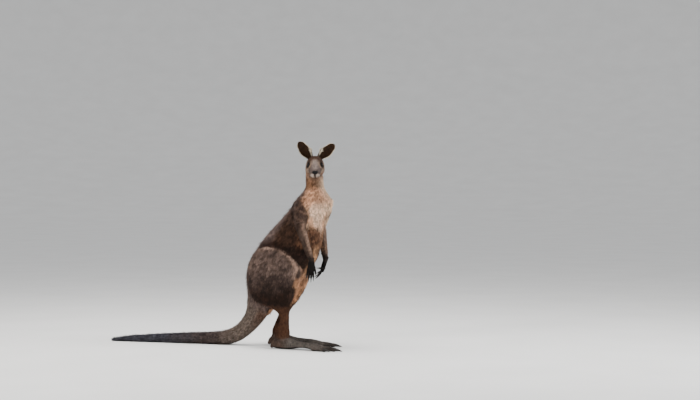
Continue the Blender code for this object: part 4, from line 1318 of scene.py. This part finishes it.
def grown(roots, spots):
    """Tufts as thin leaves that rise from the skin and bend back along it, each turned a little about its own length.
    Middle and tip lean toward the middle of the lock that the tuft belongs to, and each lock has a tone of its own."""
    at, normal, lie = roots["at"], roots["normal"], roots["lie"]
    count = len(at)
    length = roots["length"] * (0.72 + 0.56 * spots.random(count))
    size = np.clip(roots["length"] * 0.72, 0.0045, 0.0150)
    shift, own = np.zeros_like(at), np.zeros(count)
    for low, high, cell, seed in LOCKS:
        chosen = (size >= low) & (size < high)
        if chosen.any():
            centre, number = locks(at[chosen], cell, seed)
            shift[chosen], own[chosen] = centre - at[chosen], number
    shift -= normal * (shift * normal).sum(axis=1)[:, None]
    side = unit(np.cross(normal, lie))
    sway = 0.26 * (spots.random(count) - 0.5) + 0.22 * (own - 0.5)
    way = unit(lie + side * sway[:, None])
    stray = (spots.random(count) < 0.06) * roots["mottle"]  # guard hairs that stand proud
    length = length * (1 + 0.25 * stray)
    lift = np.radians(roots["lift"] * (0.55 + 0.6 * spots.random(count) + 0.35 * own + 0.8 * stray))[:, None]
    up_first = unit(way * np.cos(lift) + normal * np.sin(lift))
    up_last = unit(way * np.cos(lift * 0.3) + normal * np.sin(lift * 0.3))
    roll = np.radians(34) * (spots.random(count)[:, None] - 0.5)
    side = np.cross(normal, way) * np.cos(roll) + normal * np.sin(roll)
    half = (roots["width"] * (0.70 + 0.6 * spots.random(count)) / 2)[:, None]
    reach = length[:, None]
    gather = np.clip(reach / 0.024, 0.2, 0.8)
    root = at - normal * ROOT_DEPTH
    middle = at + up_first * reach * 0.5 + shift * 0.30 * gather
    tip = middle + up_last * reach * 0.5 + shift * 0.34 * gather
    foot, waist = side * half * 0.75, side * half
    points = np.stack([root - foot, root + foot, middle - waist, middle + waist, tip], axis=1)
    points[:, :, 2] = np.maximum(points[:, :, 2], TUFT_FLOOR)
    tone = (0.68 + 0.50 * spots.random(count) + 0.85 * (own - 0.5) * roots["mottle"])[:, None]
    warm = 1 + (spots.random(count)[:, None] - 0.5) * np.array((0.10, 0.02, -0.08))
    base = roots["colour"] * np.clip(tone, 0.25, 2) * warm
    # Painted shade darkens each tuft toward its root; its tip is lighter.
    deep = step(roots["length"], 0.005, 0.018)[:, None]
    shade = 1 + deep * np.array(LONG_SHADE) + (1 - deep) * np.array(SHORT_SHADE)
    colour = np.clip(base[:, None, :] * shade[:, :, None], 0, 1)
    return points, colour


def coat_piece(name, roots, places, spots, finish):
    """One piece of the coat. In its map each mass has a band, with a small patch for each tuft at its root's place."""
    points, colour = grown(roots, spots)
    count = len(points)
    first = (np.arange(count) * len(TUFT_FLOOR))[:, None, None]
    quads, tips = (TUFT_QUADS + first).reshape(-1, 4), (TUFT_TIPS + first).reshape(-1, 3)
    mesh, corners = make_mesh(name, (points + OFFSET).reshape(-1, 3), quads, tips)
    uv = np.zeros((count, 2))
    bottom = 0.0
    for mass, size in zip(*np.unique(roots["mass"], return_counts=True)):
        chosen = roots["mass"] == mass
        place = places[chosen]
        low, high = place.min(axis=0), place.max(axis=0)
        share = size / count
        spread = (place - low) / np.maximum(high - low, 1e-6)
        uv[chosen] = np.column_stack([0.003 + 0.994 * spread[:, 0], bottom + share * (0.01 + 0.98 * spread[:, 1])])
        bottom += share
    flat = (np.clip(uv, 0.002, 0.998)[:, None, :] + TUFT_PATCH).reshape(-1, 2)[corners]
    mesh.uv_layers.new(name="OFBake").uv.foreach_set("vector", flat.astype(np.float32).ravel())
    paint_points(mesh, colour.reshape(-1, 3))
    return add_object(name, mesh, finish)


# The coat's pieces: name, the masses in it, side or "" for both, material slot.
COAT_PIECES = (
    ("coat_head", ("head",), "", "head"),
    ("coat_ears", ("ear",), "", "ear_right"),
    ("coat_trunk_right", ("trunk",), "right", "chest"),
    ("coat_trunk_left", ("trunk",), "left", "abdomen"),
    ("coat_thigh_right", ("leg",), "right", "thigh_right"),
    ("coat_thigh_left", ("leg",), "left", "thigh_left"),
    ("coat_tail", ("tail",), "", "tail_middle"),
    ("coat_arms", ("upper_arm", "forearm"), "", "forearm_right"),
    ("coat_hands", ("palm", "finger"), "", "hand_right"),
    ("coat_feet", ("foot", "toe"), "", "foot_right"),
)
MOST_TUFTS = 62000  # in one piece, so that it stays under 200,000 triangles


def mass_of(number):
    if number >= FINGER_MASS:
        return "finger"
    return "ear" if number >= EAR_MASS else tuft_kind(guides[number])


def coat_pieces(covers, finish):
    """Roots from every cover, sorted into pieces; a piece with too many is split by height or length along the body."""
    spots = np.random.default_rng(SEED)
    sets = [sampled(cover, THINNING, spots) for cover in covers]
    roots = {key: np.concatenate([each[key] for each in sets]) for key in sets[0]}
    places = root_places(roots)
    masses = np.array([mass_of(number) for number in roots["mass"]])
    made = []
    for name, wanted, side, slot in COAT_PIECES:
        chosen = np.isin(masses, wanted)
        if side:
            chosen &= (roots["at"][:, 1] * side_sign(side)) > 0
        index = np.flatnonzero(chosen)
        parts = int(np.ceil(len(index) / MOST_TUFTS)) or 1
        order = index[np.argsort(places[index, 1] if name == "coat_tail" else -places[index, 1], kind="stable")]
        for number, part in enumerate(np.array_split(order, parts)):
            label = name if parts == 1 else f"{name}_{number + 1}"
            piece = coat_piece(label, {key: roots[key][part] for key in roots}, places[part], spots, finish)
            made.append(piece)
            print("coat", label, len(part), "tufts")
    return made


def skin_object(covers, finish):
    """All covers in one mesh, with the markings on its points, darkened as painted shade where the coat is deep."""
    points = np.concatenate([cover.points for cover in covers])
    counts = np.cumsum([0] + [len(cover.points) for cover in covers])
    triangles = np.concatenate([cover.triangles + start for cover, start in zip(covers, counts)])
    mesh, _ = make_mesh("skin", points + OFFSET, triangles)
    # painted shade on the skin under a deep coat
    shade = [(0.90 - 0.26 * step(cover.length, 0.005, 0.018))[:, None] for cover in covers]
    paint_points(mesh, np.concatenate([cover.colour * dark for cover, dark in zip(covers, shade)]))
    return add_object("skin", mesh, finish)


def grid_object(name, rings, finish, outward_from=None):
    """A smooth closed object from rings of points, its poles closed by faces to their middles."""
    count, around = rings.shape[:2]
    points = np.concatenate([rings.reshape(-1, 3), rings[:1].mean(axis=1), rings[-1:].mean(axis=1)])
    index, beside, quads = ring_quads(count, around)
    low = np.stack([index[0], np.full(around, count * around), beside[0]], axis=-1)
    high = np.stack([index[-1], beside[-1], np.full(around, count * around + 1)], axis=-1)
    centre = points.mean(axis=0) if outward_from is None else outward_from
    if facing_in(points, quads, centre):
        quads, low, high = quads[:, ::-1], low[:, ::-1], high[:, ::-1]
    mesh, _ = make_mesh(name, points + OFFSET, quads, low, high)
    return add_object(name, mesh, finish)


def eye_piece(side, finish):
    """A ball with the cornea raised as a smaller dome; its ring attribute is the angle from the pupil's middle."""
    look, long, short = eye_axes(side)
    centre = eye_centre(side)
    angle = np.radians(np.concatenate([np.linspace(1.5, 60, 34), np.linspace(64, 178.5, 24)]))
    turn = turns(EYE_SIDES)
    far = (EYE_RADIUS - 0.0002) * (1 + 0.035 * step(np.degrees(angle), 46, 20))
    around = long * np.cos(turn)[:, None] + short * np.sin(turn)[:, None]
    c, s = np.cos(angle)[:, None, None], np.sin(angle)[:, None, None]
    rings = centre + far[:, None, None] * (look * c + around[None] * s)
    eye = grid_object("eye_ball_" + side, rings, finish, centre)
    # The pupil is a level oval, so its ring is measured with the long axis shortened.
    wide = 1 / (1 + 0.35 * np.cos(turn) ** 2)
    values = np.degrees(angle)[:, None] * wide[None, :] ** (step(np.degrees(angle), 34, 14)[:, None])
    ring = eye.data.attributes.new("ring", "FLOAT", "POINT")
    ring.data.foreach_set("value", np.concatenate([values.ravel(), [0.0, 180.0]]).astype(np.float32))
    return eye


def nose_piece(finish):
    """An egg of leather, flattened before and below, with two curled nostrils and a furrow down its middle."""
    v = np.radians(np.linspace(2, 178, 60))[:, None]
    u = 2 * np.pi * np.arange(80)[None, :] / 80
    direction = np.stack([np.cos(v) + 0 * u, np.sin(v) * np.cos(u), np.sin(v) * np.sin(u)], axis=-1)
    local = direction * np.array(NOSE_SIZE) / (np.abs(direction) ** 2.7).sum(axis=-1, keepdims=True) ** (1 / 2.7)
    x, y, z = local[..., 0], local[..., 1], local[..., 2]
    narrow = 1 - 0.55 * step(z, -0.001, -0.011)
    local = np.stack([x, y * narrow, z], axis=-1)
    y = local[..., 1]
    front = step(x, -0.002, 0.004)
    beside = np.abs(y) - 0.0086
    nostril = np.exp(-((beside / 0.0040) ** 2) - (((z + 0.0010 - 0.35 * beside) / 0.0023) ** 2))
    wing = np.exp(-(((np.abs(y) - 0.0090) / 0.0050) ** 2) - (((z - 0.0042) / 0.0026) ** 2))
    furrow = hill(y, 0, 0.0011) * step(z, 0.004, -0.001)
    grain = 0.00018 * (noise(local.reshape(-1, 3), 0.0012, 61).reshape(z.shape) - 0.5)
    inward = -0.0060 * nostril * front + 0.0011 * wing * front - 0.0013 * furrow * front + grain
    local = local + direction * inward[..., None]
    matrix = head_frame() @ Matrix.Translation(NOSE_AT - Vector((0.0022, 0, 0)))
    rings = placed(matrix, local.reshape(-1, 3)).reshape(local.shape)
    return grid_object("nose_leather", rings, finish, np.array(head_frame() @ NOSE_AT))


def claw_rings(base, way, droop, length, thick, curve):
    """Ovals along a line that bends toward droop by the square of the distance, and that shrink to a point.

    Their size follows the share of the length that is left, to the power 0.72.
    """
    base, way = np.array(base), unit(np.array(way))
    across = unit(np.cross(way, np.array(droop)))
    down = np.cross(across, way)
    t = np.concatenate([[-0.16], np.linspace(0, 0.97, 15), [1.0]])
    taper = np.maximum(1 - np.maximum(t, 0), 0.0) ** 0.72
    centre = base + way * (length * t)[:, None] + down * (length * curve * t * t)[:, None]
    turn = turns(CLAW_SIDES)
    c, s = np.cos(turn)[None, :, None], np.sin(turn)[None, :, None]
    tall, wide = ((thick * size * taper + 0.00025)[:, None, None] for size in (1.22, 1))
    return centre[:, None, :] + (down * (c * tall) + across * (s * wide * (1 - 0.25 * c)))


def claw_pieces(finish):
    """Every claw in the place of its solid."""
    for side in SIDES:
        for claw, (toe, place, length, thick) in TOE_CLAWS.items():
            rows = toe_rows(side, toe)
            end, before = Vector(rows[-1][:3]), Vector(rows[-2][:3])
            along = Vector((end.x - before.x, end.y - before.y, 0)).normalized()
            outward = foot_frame(side).to_3x3() @ Vector((0, 1, 0))
            base = end + outward * place + along * 0.002 + Vector(UP) * 0.0005
            way = (along - Vector(UP) * (base.z - thick * 0.8) / length * 0.62).normalized()
            rings = claw_rings(base, way, -UP, length * CLAW_SHARE, thick, 0.10)
            rings[..., 2] = np.maximum(rings[..., 2], 0.0006)
            yield f"toe_claw_{claw}_{side}", grid_object(f"horn_toe_{claw}_{side}", rings, finish)
        for finger in FINGERS:
            points, way = finger_line(side, finger)
            length, thick = FINGER_CLAW
            length *= (FINGERS[finger][2] / 0.042) ** 0.5
            rings = claw_rings(points[-1], way, -HAND_BACK[side], length * CLAW_SHARE, thick, 0.12)
            yield f"finger_claw_{finger}_{side}", grid_object(f"horn_finger_{finger}_{side}", rings, finish)


def hair_fan(name, starts, ways, droops, lengths, thick, finish):
    """Single stiff hairs: thin four-sided cones that leave along one way and sag by the square of the distance."""
    t = np.array((0.0, 0.2, 0.4, 0.6, 0.8, 1.0))
    reach = lengths[:, None]
    line = starts[:, None] + ways[:, None] * (reach * t)[..., None]
    line = line + droops[:, None] * (reach * 0.28 * t**2)[..., None]
    one = unit(np.cross(ways, droops))
    two = np.cross(ways, one)
    turn = turns(HAIR_SIDES)
    wide = thick * (1 - 0.92 * t)
    c, s = np.cos(turn)[:, None], np.sin(turn)[:, None]
    around = one[:, None, None] * c + two[:, None, None] * s
    rings = line[:, :, None] + around * wide[None, :, None, None]
    count = len(starts)
    index = np.arange(count * len(t) * HAIR_SIDES).reshape(count, len(t), HAIR_SIDES)
    beside = np.roll(index, -1, axis=2)
    quads = np.stack([index[:, :-1], index[:, 1:], beside[:, 1:], beside[:, :-1]], axis=-1).reshape(-1, 4)
    tips = index[:, -1, ::-1]
    mesh, _ = make_mesh(name, rings.reshape(-1, 3) + OFFSET, quads, tips)
    return add_object(name, mesh, finish)


# Single hairs over the eye and on the cheek, in the head's axes: place, way, length.
FACE_HAIRS = (
    ((0.030, 0.034, 0.036), (0.2, 0.6, 0.75), 0.024),
    ((0.024, 0.036, 0.036), (0.0, 0.7, 0.7), 0.021),
    ((0.012, 0.047, -0.024), (0.0, 1.0, -0.35), 0.026),
    ((0.010, 0.046, -0.029), (-0.1, 1.0, -0.45), 0.022),
)
LASHES = 22
HAIR_THICKNESS = 0.00030


def whiskers(finish):
    """Rows of whiskers on the upper lip, a few over the eye and on the cheek, and lashes along the upper lid."""
    spots = np.random.default_rng(SEED + 1)
    starts, ways, droops, lengths = [], [], [], []
    for side in SIDES:
        matrix = mirrored_head_frame(side)
        turn = np.array(matrix.to_3x3())
        rows, columns = np.meshgrid(np.arange(3), np.arange(5), indexing="ij")
        r, c = rows.ravel(), columns.ravel()
        at = np.stack([0.112 - 0.0075 * c, 0.0175 + 0.0018 * c, -0.0145 - 0.0045 * r - 0.0008 * c], axis=-1)
        way = np.stack([0.15 - 0.16 * c, 0.95 + 0 * c, -0.18 - 0.16 * r], axis=-1)
        way = way + 0.12 * (spots.random((len(c), 3)) - 0.5)
        at = np.concatenate([at, [place for place, _, _ in FACE_HAIRS]])
        way = unit(np.concatenate([way, [toward for _, toward, _ in FACE_HAIRS]]))
        starts.append(placed(matrix, at))
        ways.append(way @ turn.T)
        long_ones = 0.022 + 0.0052 * c + 0.004 * spots.random(len(c))
        lengths.append(np.concatenate([long_ones, [length for _, _, length in FACE_HAIRS]]))
        look, long, short = eye_axes(side)
        a = np.radians(np.linspace(28, 152, LASHES))[:, None]
        upper = short if short[2] > 0 else -short
        opening = eye_opening(np.cos(a), 2)
        rim = look * np.cos(opening) + (long * np.cos(a) + upper * np.sin(a)) * np.sin(opening)
        starts.append(eye_centre(side) + rim * 0.0143)
        ways.append(unit(rim * 0.5 + look * 0.5 + upper * 0.25 + long * np.cos(a) * 0.3))
        lengths.append(0.0036 + 0.0012 * spots.random(LASHES))
        droops += [np.tile(-UP, (len(at), 1)), np.tile(upper, (LASHES, 1))]
    hairs = [np.concatenate(each) for each in (starts, ways, droops, lengths)]
    return hair_fan("whiskers", *hairs, HAIR_THICKNESS, finish)


def node(tree, kind, inputs=(), **settings):
    """A node with its settings and inputs: an input is a value or another node's output."""
    made = tree.nodes.new(kind)
    for name, value in settings.items():
        setattr(made, name, value)
    for name, value in dict(inputs).items():
        if isinstance(value, bpy.types.NodeSocket):
            tree.links.new(value, made.inputs[name])
        else:
            made.inputs[name].default_value = value
    return made


def ramp(tree, source, stops):
    """A colour ramp: stops are places and greys or colours."""
    made = node(tree, "ShaderNodeValToRGB", {"Fac": source})
    elements = made.color_ramp.elements
    while len(elements) < len(stops):
        elements.new(0.5)
    for element, (place, colour) in zip(elements, stops):
        element.position = place
        element.color = (*colour, 1) if isinstance(colour, tuple) else (colour, colour, colour, 1)
    return made.outputs["Color"]


def new_group(name, inputs, outputs):
    group = bpy.data.node_groups.new(name, "ShaderNodeTree")
    for label, kind, value in inputs:
        socket = group.interface.new_socket(label, in_out="INPUT", socket_type=kind)
        socket.default_value = value
    for label, kind in outputs:
        group.interface.new_socket(label, in_out="OUTPUT", socket_type=kind)
    return group, group.nodes.new("NodeGroupInput"), group.nodes.new("NodeGroupOutput")


def texture(tree, kind, output="Fac", **inputs):
    """A procedural texture, laid out in the object's own axes unless Vector is given."""
    if "Vector" not in inputs:
        inputs["Vector"] = node(tree, "ShaderNodeTexCoord").outputs["Object"]
    return node(tree, "ShaderNodeTex" + kind, inputs).outputs[output]


def ramped(tree, surface, label, source, *stops):
    """A colour ramp that drives one input of the shader."""
    tree.links.new(ramp(tree, source, stops), surface.inputs[label])


def bumped(tree, surface, height, strength, distance, **settings):
    bump = node(tree, "ShaderNodeBump", {"Height": height, "Strength": strength, "Distance": distance}, **settings)
    tree.links.new(bump.outputs["Normal"], surface.inputs["Normal"])


def multiplied(tree, factor, first, second):
    """One colour multiplied by another, as far as factor says."""
    inputs = {"Factor": factor, 6: first, 7: second}
    return node(tree, "ShaderNodeMix", inputs, data_type="RGBA", blend_type="MULTIPLY").outputs[2]


def coat_tone_group():
    """Mottling that skin and coat share: dark and light patches, grizzled streaks, and fine grain as a height."""
    group, start, end = new_group(
        "coat_tone",
        (("Coat", "NodeSocketColor", (0.1, 0.1, 0.1, 1)), ("Patchiness", "NodeSocketFloat", 0.5)),
        (("Color", "NodeSocketColor"), ("Height", "NodeSocketFloat")),
    )
    patches = texture(group, "Noise", Scale=38.0, Detail=4.0, Roughness=0.62)
    place = node(group, "ShaderNodeTexCoord").outputs["Object"]
    stretched = node(group, "ShaderNodeMapping", {"Vector": place, "Scale": (170.0, 170.0, 70.0)}).outputs["Vector"]
    streaks = texture(group, "Noise", Vector=stretched, Scale=1.0, Detail=3.0, Roughness=0.6)
    dark = ramp(group, patches, ((0.32, 0.50), (0.50, 1.0), (0.70, 1.45)))
    lined = ramp(group, streaks, ((0.32, 0.60), (0.52, 1.0), (0.72, 1.50)))
    patchiness = start.outputs["Patchiness"]
    toned = multiplied(group, patchiness, multiplied(group, patchiness, start.outputs["Coat"], dark), lined)
    group.links.new(toned, end.inputs["Color"])
    group.links.new(texture(group, "Noise", Scale=900.0, Detail=2.0), end.inputs["Height"])
    return group


def new_finish(name, **shader):
    """A material with a Principled shader whose plain values are set on its own sockets."""
    made = bpy.data.materials.new(name)
    made.use_nodes = True
    tree = made.node_tree
    surface = tree.nodes["Principled BSDF"]
    for label, value in shader.items():
        surface.inputs[label.replace("_", " ")].default_value = value
    return made, tree, surface


def coat_finish(name, tone, patchiness, strength, distance, **shader):
    made, tree, surface = new_finish(name, **shader)
    coat = node(tree, "ShaderNodeAttribute", attribute_name="coat").outputs["Color"]
    group = node(tree, "ShaderNodeGroup", node_tree=tone)
    tree.links.new(coat, group.inputs["Coat"])
    group.inputs["Patchiness"].default_value = patchiness
    tree.links.new(group.outputs["Color"], surface.inputs["Base Color"])
    bumped(tree, surface, group.outputs["Height"], strength, distance)
    return made


def eye_finish():
    """Nearly black pupil, dark brown iris with fine spokes, and a black edge."""
    made, tree, surface = new_finish("eye", Roughness=0.06, Specular_IOR_Level=0.15)
    ring = node(tree, "ShaderNodeAttribute", attribute_name="ring").outputs["Fac"]
    part = node(tree, "ShaderNodeMath", {0: ring, 1: 90.0}, operation="DIVIDE").outputs[0]
    stops = (
        (0.15, (0.0015, 0.0012, 0.0012)),
        (0.19, (0.009, 0.004, 0.002)),
        (0.34, (0.015, 0.0065, 0.003)),
        (0.42, (0.004, 0.003, 0.003)),
        (0.60, (0.007, 0.004, 0.003)),
    )
    spokes = ramp(tree, texture(tree, "Noise", Scale=1400.0, Detail=3.0), ((0.3, 0.45), (0.7, 1.5)))
    tree.links.new(multiplied(tree, 0.5, ramp(tree, part, stops), spokes), surface.inputs["Base Color"])
    return made


def leather_finish():
    """Black nose leather of small rounded scales, darker in the furrows between them, with patches of gloss."""
    made, tree, surface = new_finish("nose_leather", Specular_IOR_Level=0.14)
    scales = texture(tree, "Voronoi", "Distance", Scale=900.0)
    broad = texture(tree, "Noise", Scale=260.0, Detail=3.0)
    ramped(tree, surface, "Base Color", scales, (0.0, (0.0100, 0.0085, 0.0085)), (0.8, (0.0035, 0.0030, 0.0030)))
    ramped(tree, surface, "Roughness", broad, (0.3, 0.42), (0.7, 0.65))
    bumped(tree, surface, scales, 0.5, 0.0004, invert=True)
    return made


def horn_finish():
    """Dark horn with lighter worn streaks, dull with dust."""
    made, tree, surface = new_finish("horn", Specular_IOR_Level=0.30)
    streaks = texture(tree, "Noise", Scale=420.0, Detail=5.0, Roughness=0.65)
    dust = texture(tree, "Noise", Scale=70.0, Detail=3.0)
    worn = ((0.32, (0.008, 0.007, 0.006)), (0.60, (0.022, 0.018, 0.015)), (0.80, (0.085, 0.072, 0.060)))
    ramped(tree, surface, "Base Color", streaks, *worn)
    ramped(tree, surface, "Roughness", dust, (0.3, 0.28), (0.7, 0.55))
    bumped(tree, surface, streaks, 0.35, 0.0005)
    return made


def whisker_finish():
    made, tree, surface = new_finish("whisker", Roughness=0.45)
    along = texture(tree, "Noise", Scale=90.0)
    ramped(tree, surface, "Base Color", along, (0.35, (0.012, 0.010, 0.009)), (0.70, (0.045, 0.036, 0.030)))
    return made


def floor_finish():
    """Plain pale studio floor with a very faint unevenness."""
    made, tree, surface = new_finish("studio_floor", Roughness=0.9)
    cloud = texture(tree, "Noise", Scale=2.0, Detail=2.0)
    ramped(tree, surface, "Base Color", cloud, (0.2, (0.74, 0.73, 0.71)), (0.8, (0.80, 0.79, 0.77)))
    return made


def studio_floor(finish):
    """A round floor that turns up at its rim: a level disc, then a quarter of an oval turned about the middle."""
    rise = np.radians(np.linspace(0, 90, 19))
    reach = np.concatenate([[2.0, 6.0, 12.0, 18.0], 22 + 20 * np.sin(rise)])
    height = np.concatenate([np.zeros(4), 11 * (1 - np.cos(rise))]) - FLOOR_GAP
    turn = turns(FLOOR_SIDES)
    across = reach[:, None]
    rings = np.stack([across * np.cos(turn), across * np.sin(turn), height[:, None] + 0 * turn], axis=-1)
    points = np.concatenate([rings.reshape(-1, 3), [[0, 0, -FLOOR_GAP]]])
    index, beside, quads = ring_quads(len(reach), FLOOR_SIDES)
    quads = quads[:, [0, 3, 2, 1]]
    middle = np.stack([index[0], beside[0], np.full(FLOOR_SIDES, len(points) - 1)], axis=-1)
    mesh, _ = make_mesh("studio_floor", points, quads, middle)
    add_object("studio_floor", mesh, finish)


# Square soft lights: name, place, the point that it faces, size, power, tint, and if it shows in reflections.
LIGHTS = (
    ("overhead", (-0.4, -0.4, 4.0), (0.1, 0, 0.4), 2.2, 210, (1.0, 0.985, 0.96), False),
    ("front_left", (-1.2, -4.4, 2.6), (0.1, 0, 0.5), 1.3, 110, (1.0, 0.98, 0.95), True),
    ("right", (3.9, 0.2, 2.4), (0.2, 0, 0.6), 1.4, 130, (0.97, 0.985, 1.0), True),
)
# A long lens at the height of the chest, before the animal's right side and a little below level.
CAMERA_AT = (3.591, -7.123, 0.870)
CAMERA_WAY = (-0.4067, 0.9135)
CAMERA_DIP = 0.58
CAMERA_LENS = 76.2


def faced(obj, place, way):
    """Puts an object at a place, with its -Z along a way."""
    obj.location = place
    obj.rotation_mode = "QUATERNION"
    obj.rotation_quaternion = way.to_track_quat("-Z", "Y")


def studio_light():
    world = bpy.data.worlds.new("studio")
    world.use_nodes = True
    world.node_tree.nodes["Background"].inputs["Color"].default_value = (0.90, 0.92, 0.95, 1)
    world.node_tree.nodes["Background"].inputs["Strength"].default_value = 0.85
    bpy.context.scene.world = world
    for name, place, aim, size, power, tint, shows in LIGHTS:
        light = bpy.data.lights.new(name, "AREA")
        light.energy, light.size, light.color = power, size, tint
        obj = add_object(name, light)
        faced(obj, place, Vector(aim) - Vector(place))
        obj.visible_glossy = shows


def studio_camera():
    camera = bpy.data.cameras.new("camera")
    camera.sensor_width = 36.0
    camera.lens = CAMERA_LENS
    camera.clip_end = 200.0
    obj = add_object("camera", camera)
    dip = math.radians(CAMERA_DIP)
    x, y = CAMERA_WAY
    faced(obj, np.array(CAMERA_AT) + OFFSET, Vector((x * math.cos(dip), y * math.cos(dip), -math.sin(dip))))
    bpy.context.scene.camera = obj


studio_camera()
studio_light()
studio_floor(floor_finish())

tone = coat_tone_group()
covers = [body_cover(*body_skin())]
covers += [lid_cover(side) for side in SIDES] + [ear_cover(side) for side in SIDES]
covers += [finger_cover(number, guide) for number, guide in enumerate(finger_guides)]
skin = skin_object(covers, coat_finish("skin", tone, 0.75, 0.4, 0.0010, Roughness=0.8, Specular_IOR_Level=0.12))
flesh = ["neck", "chest", "abdomen", "pelvis", "head"]
flesh += ["tail_" + part for part in ("root", "bend", "upper", "middle", "lower", "tip")]
pairs = ("upper_arm", "forearm", "thigh", "shank", "ear", "hand", "foot")
flesh += [f"{part}_{side}" for part in pairs for side in SIDES]
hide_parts(*flesh)
made = [skin]

hair = coat_finish("coat", tone, 0.75, 0.15, 0.0003, Roughness=0.72, Specular_IOR_Level=0.16)
made += coat_pieces(covers, hair)

eye_surface = eye_finish()
for side in SIDES:
    eye = eye_piece(side, eye_surface)
    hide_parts("eye_" + side)
    made.append(eye)
nose = nose_piece(leather_finish())
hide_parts("nose")
hairs = whiskers(whisker_finish())
made += [nose, hairs]
for solid, horn in claw_pieces(horn_finish()):
    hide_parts(solid)
    made.append(horn)
for piece in made:
    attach(piece, "root")
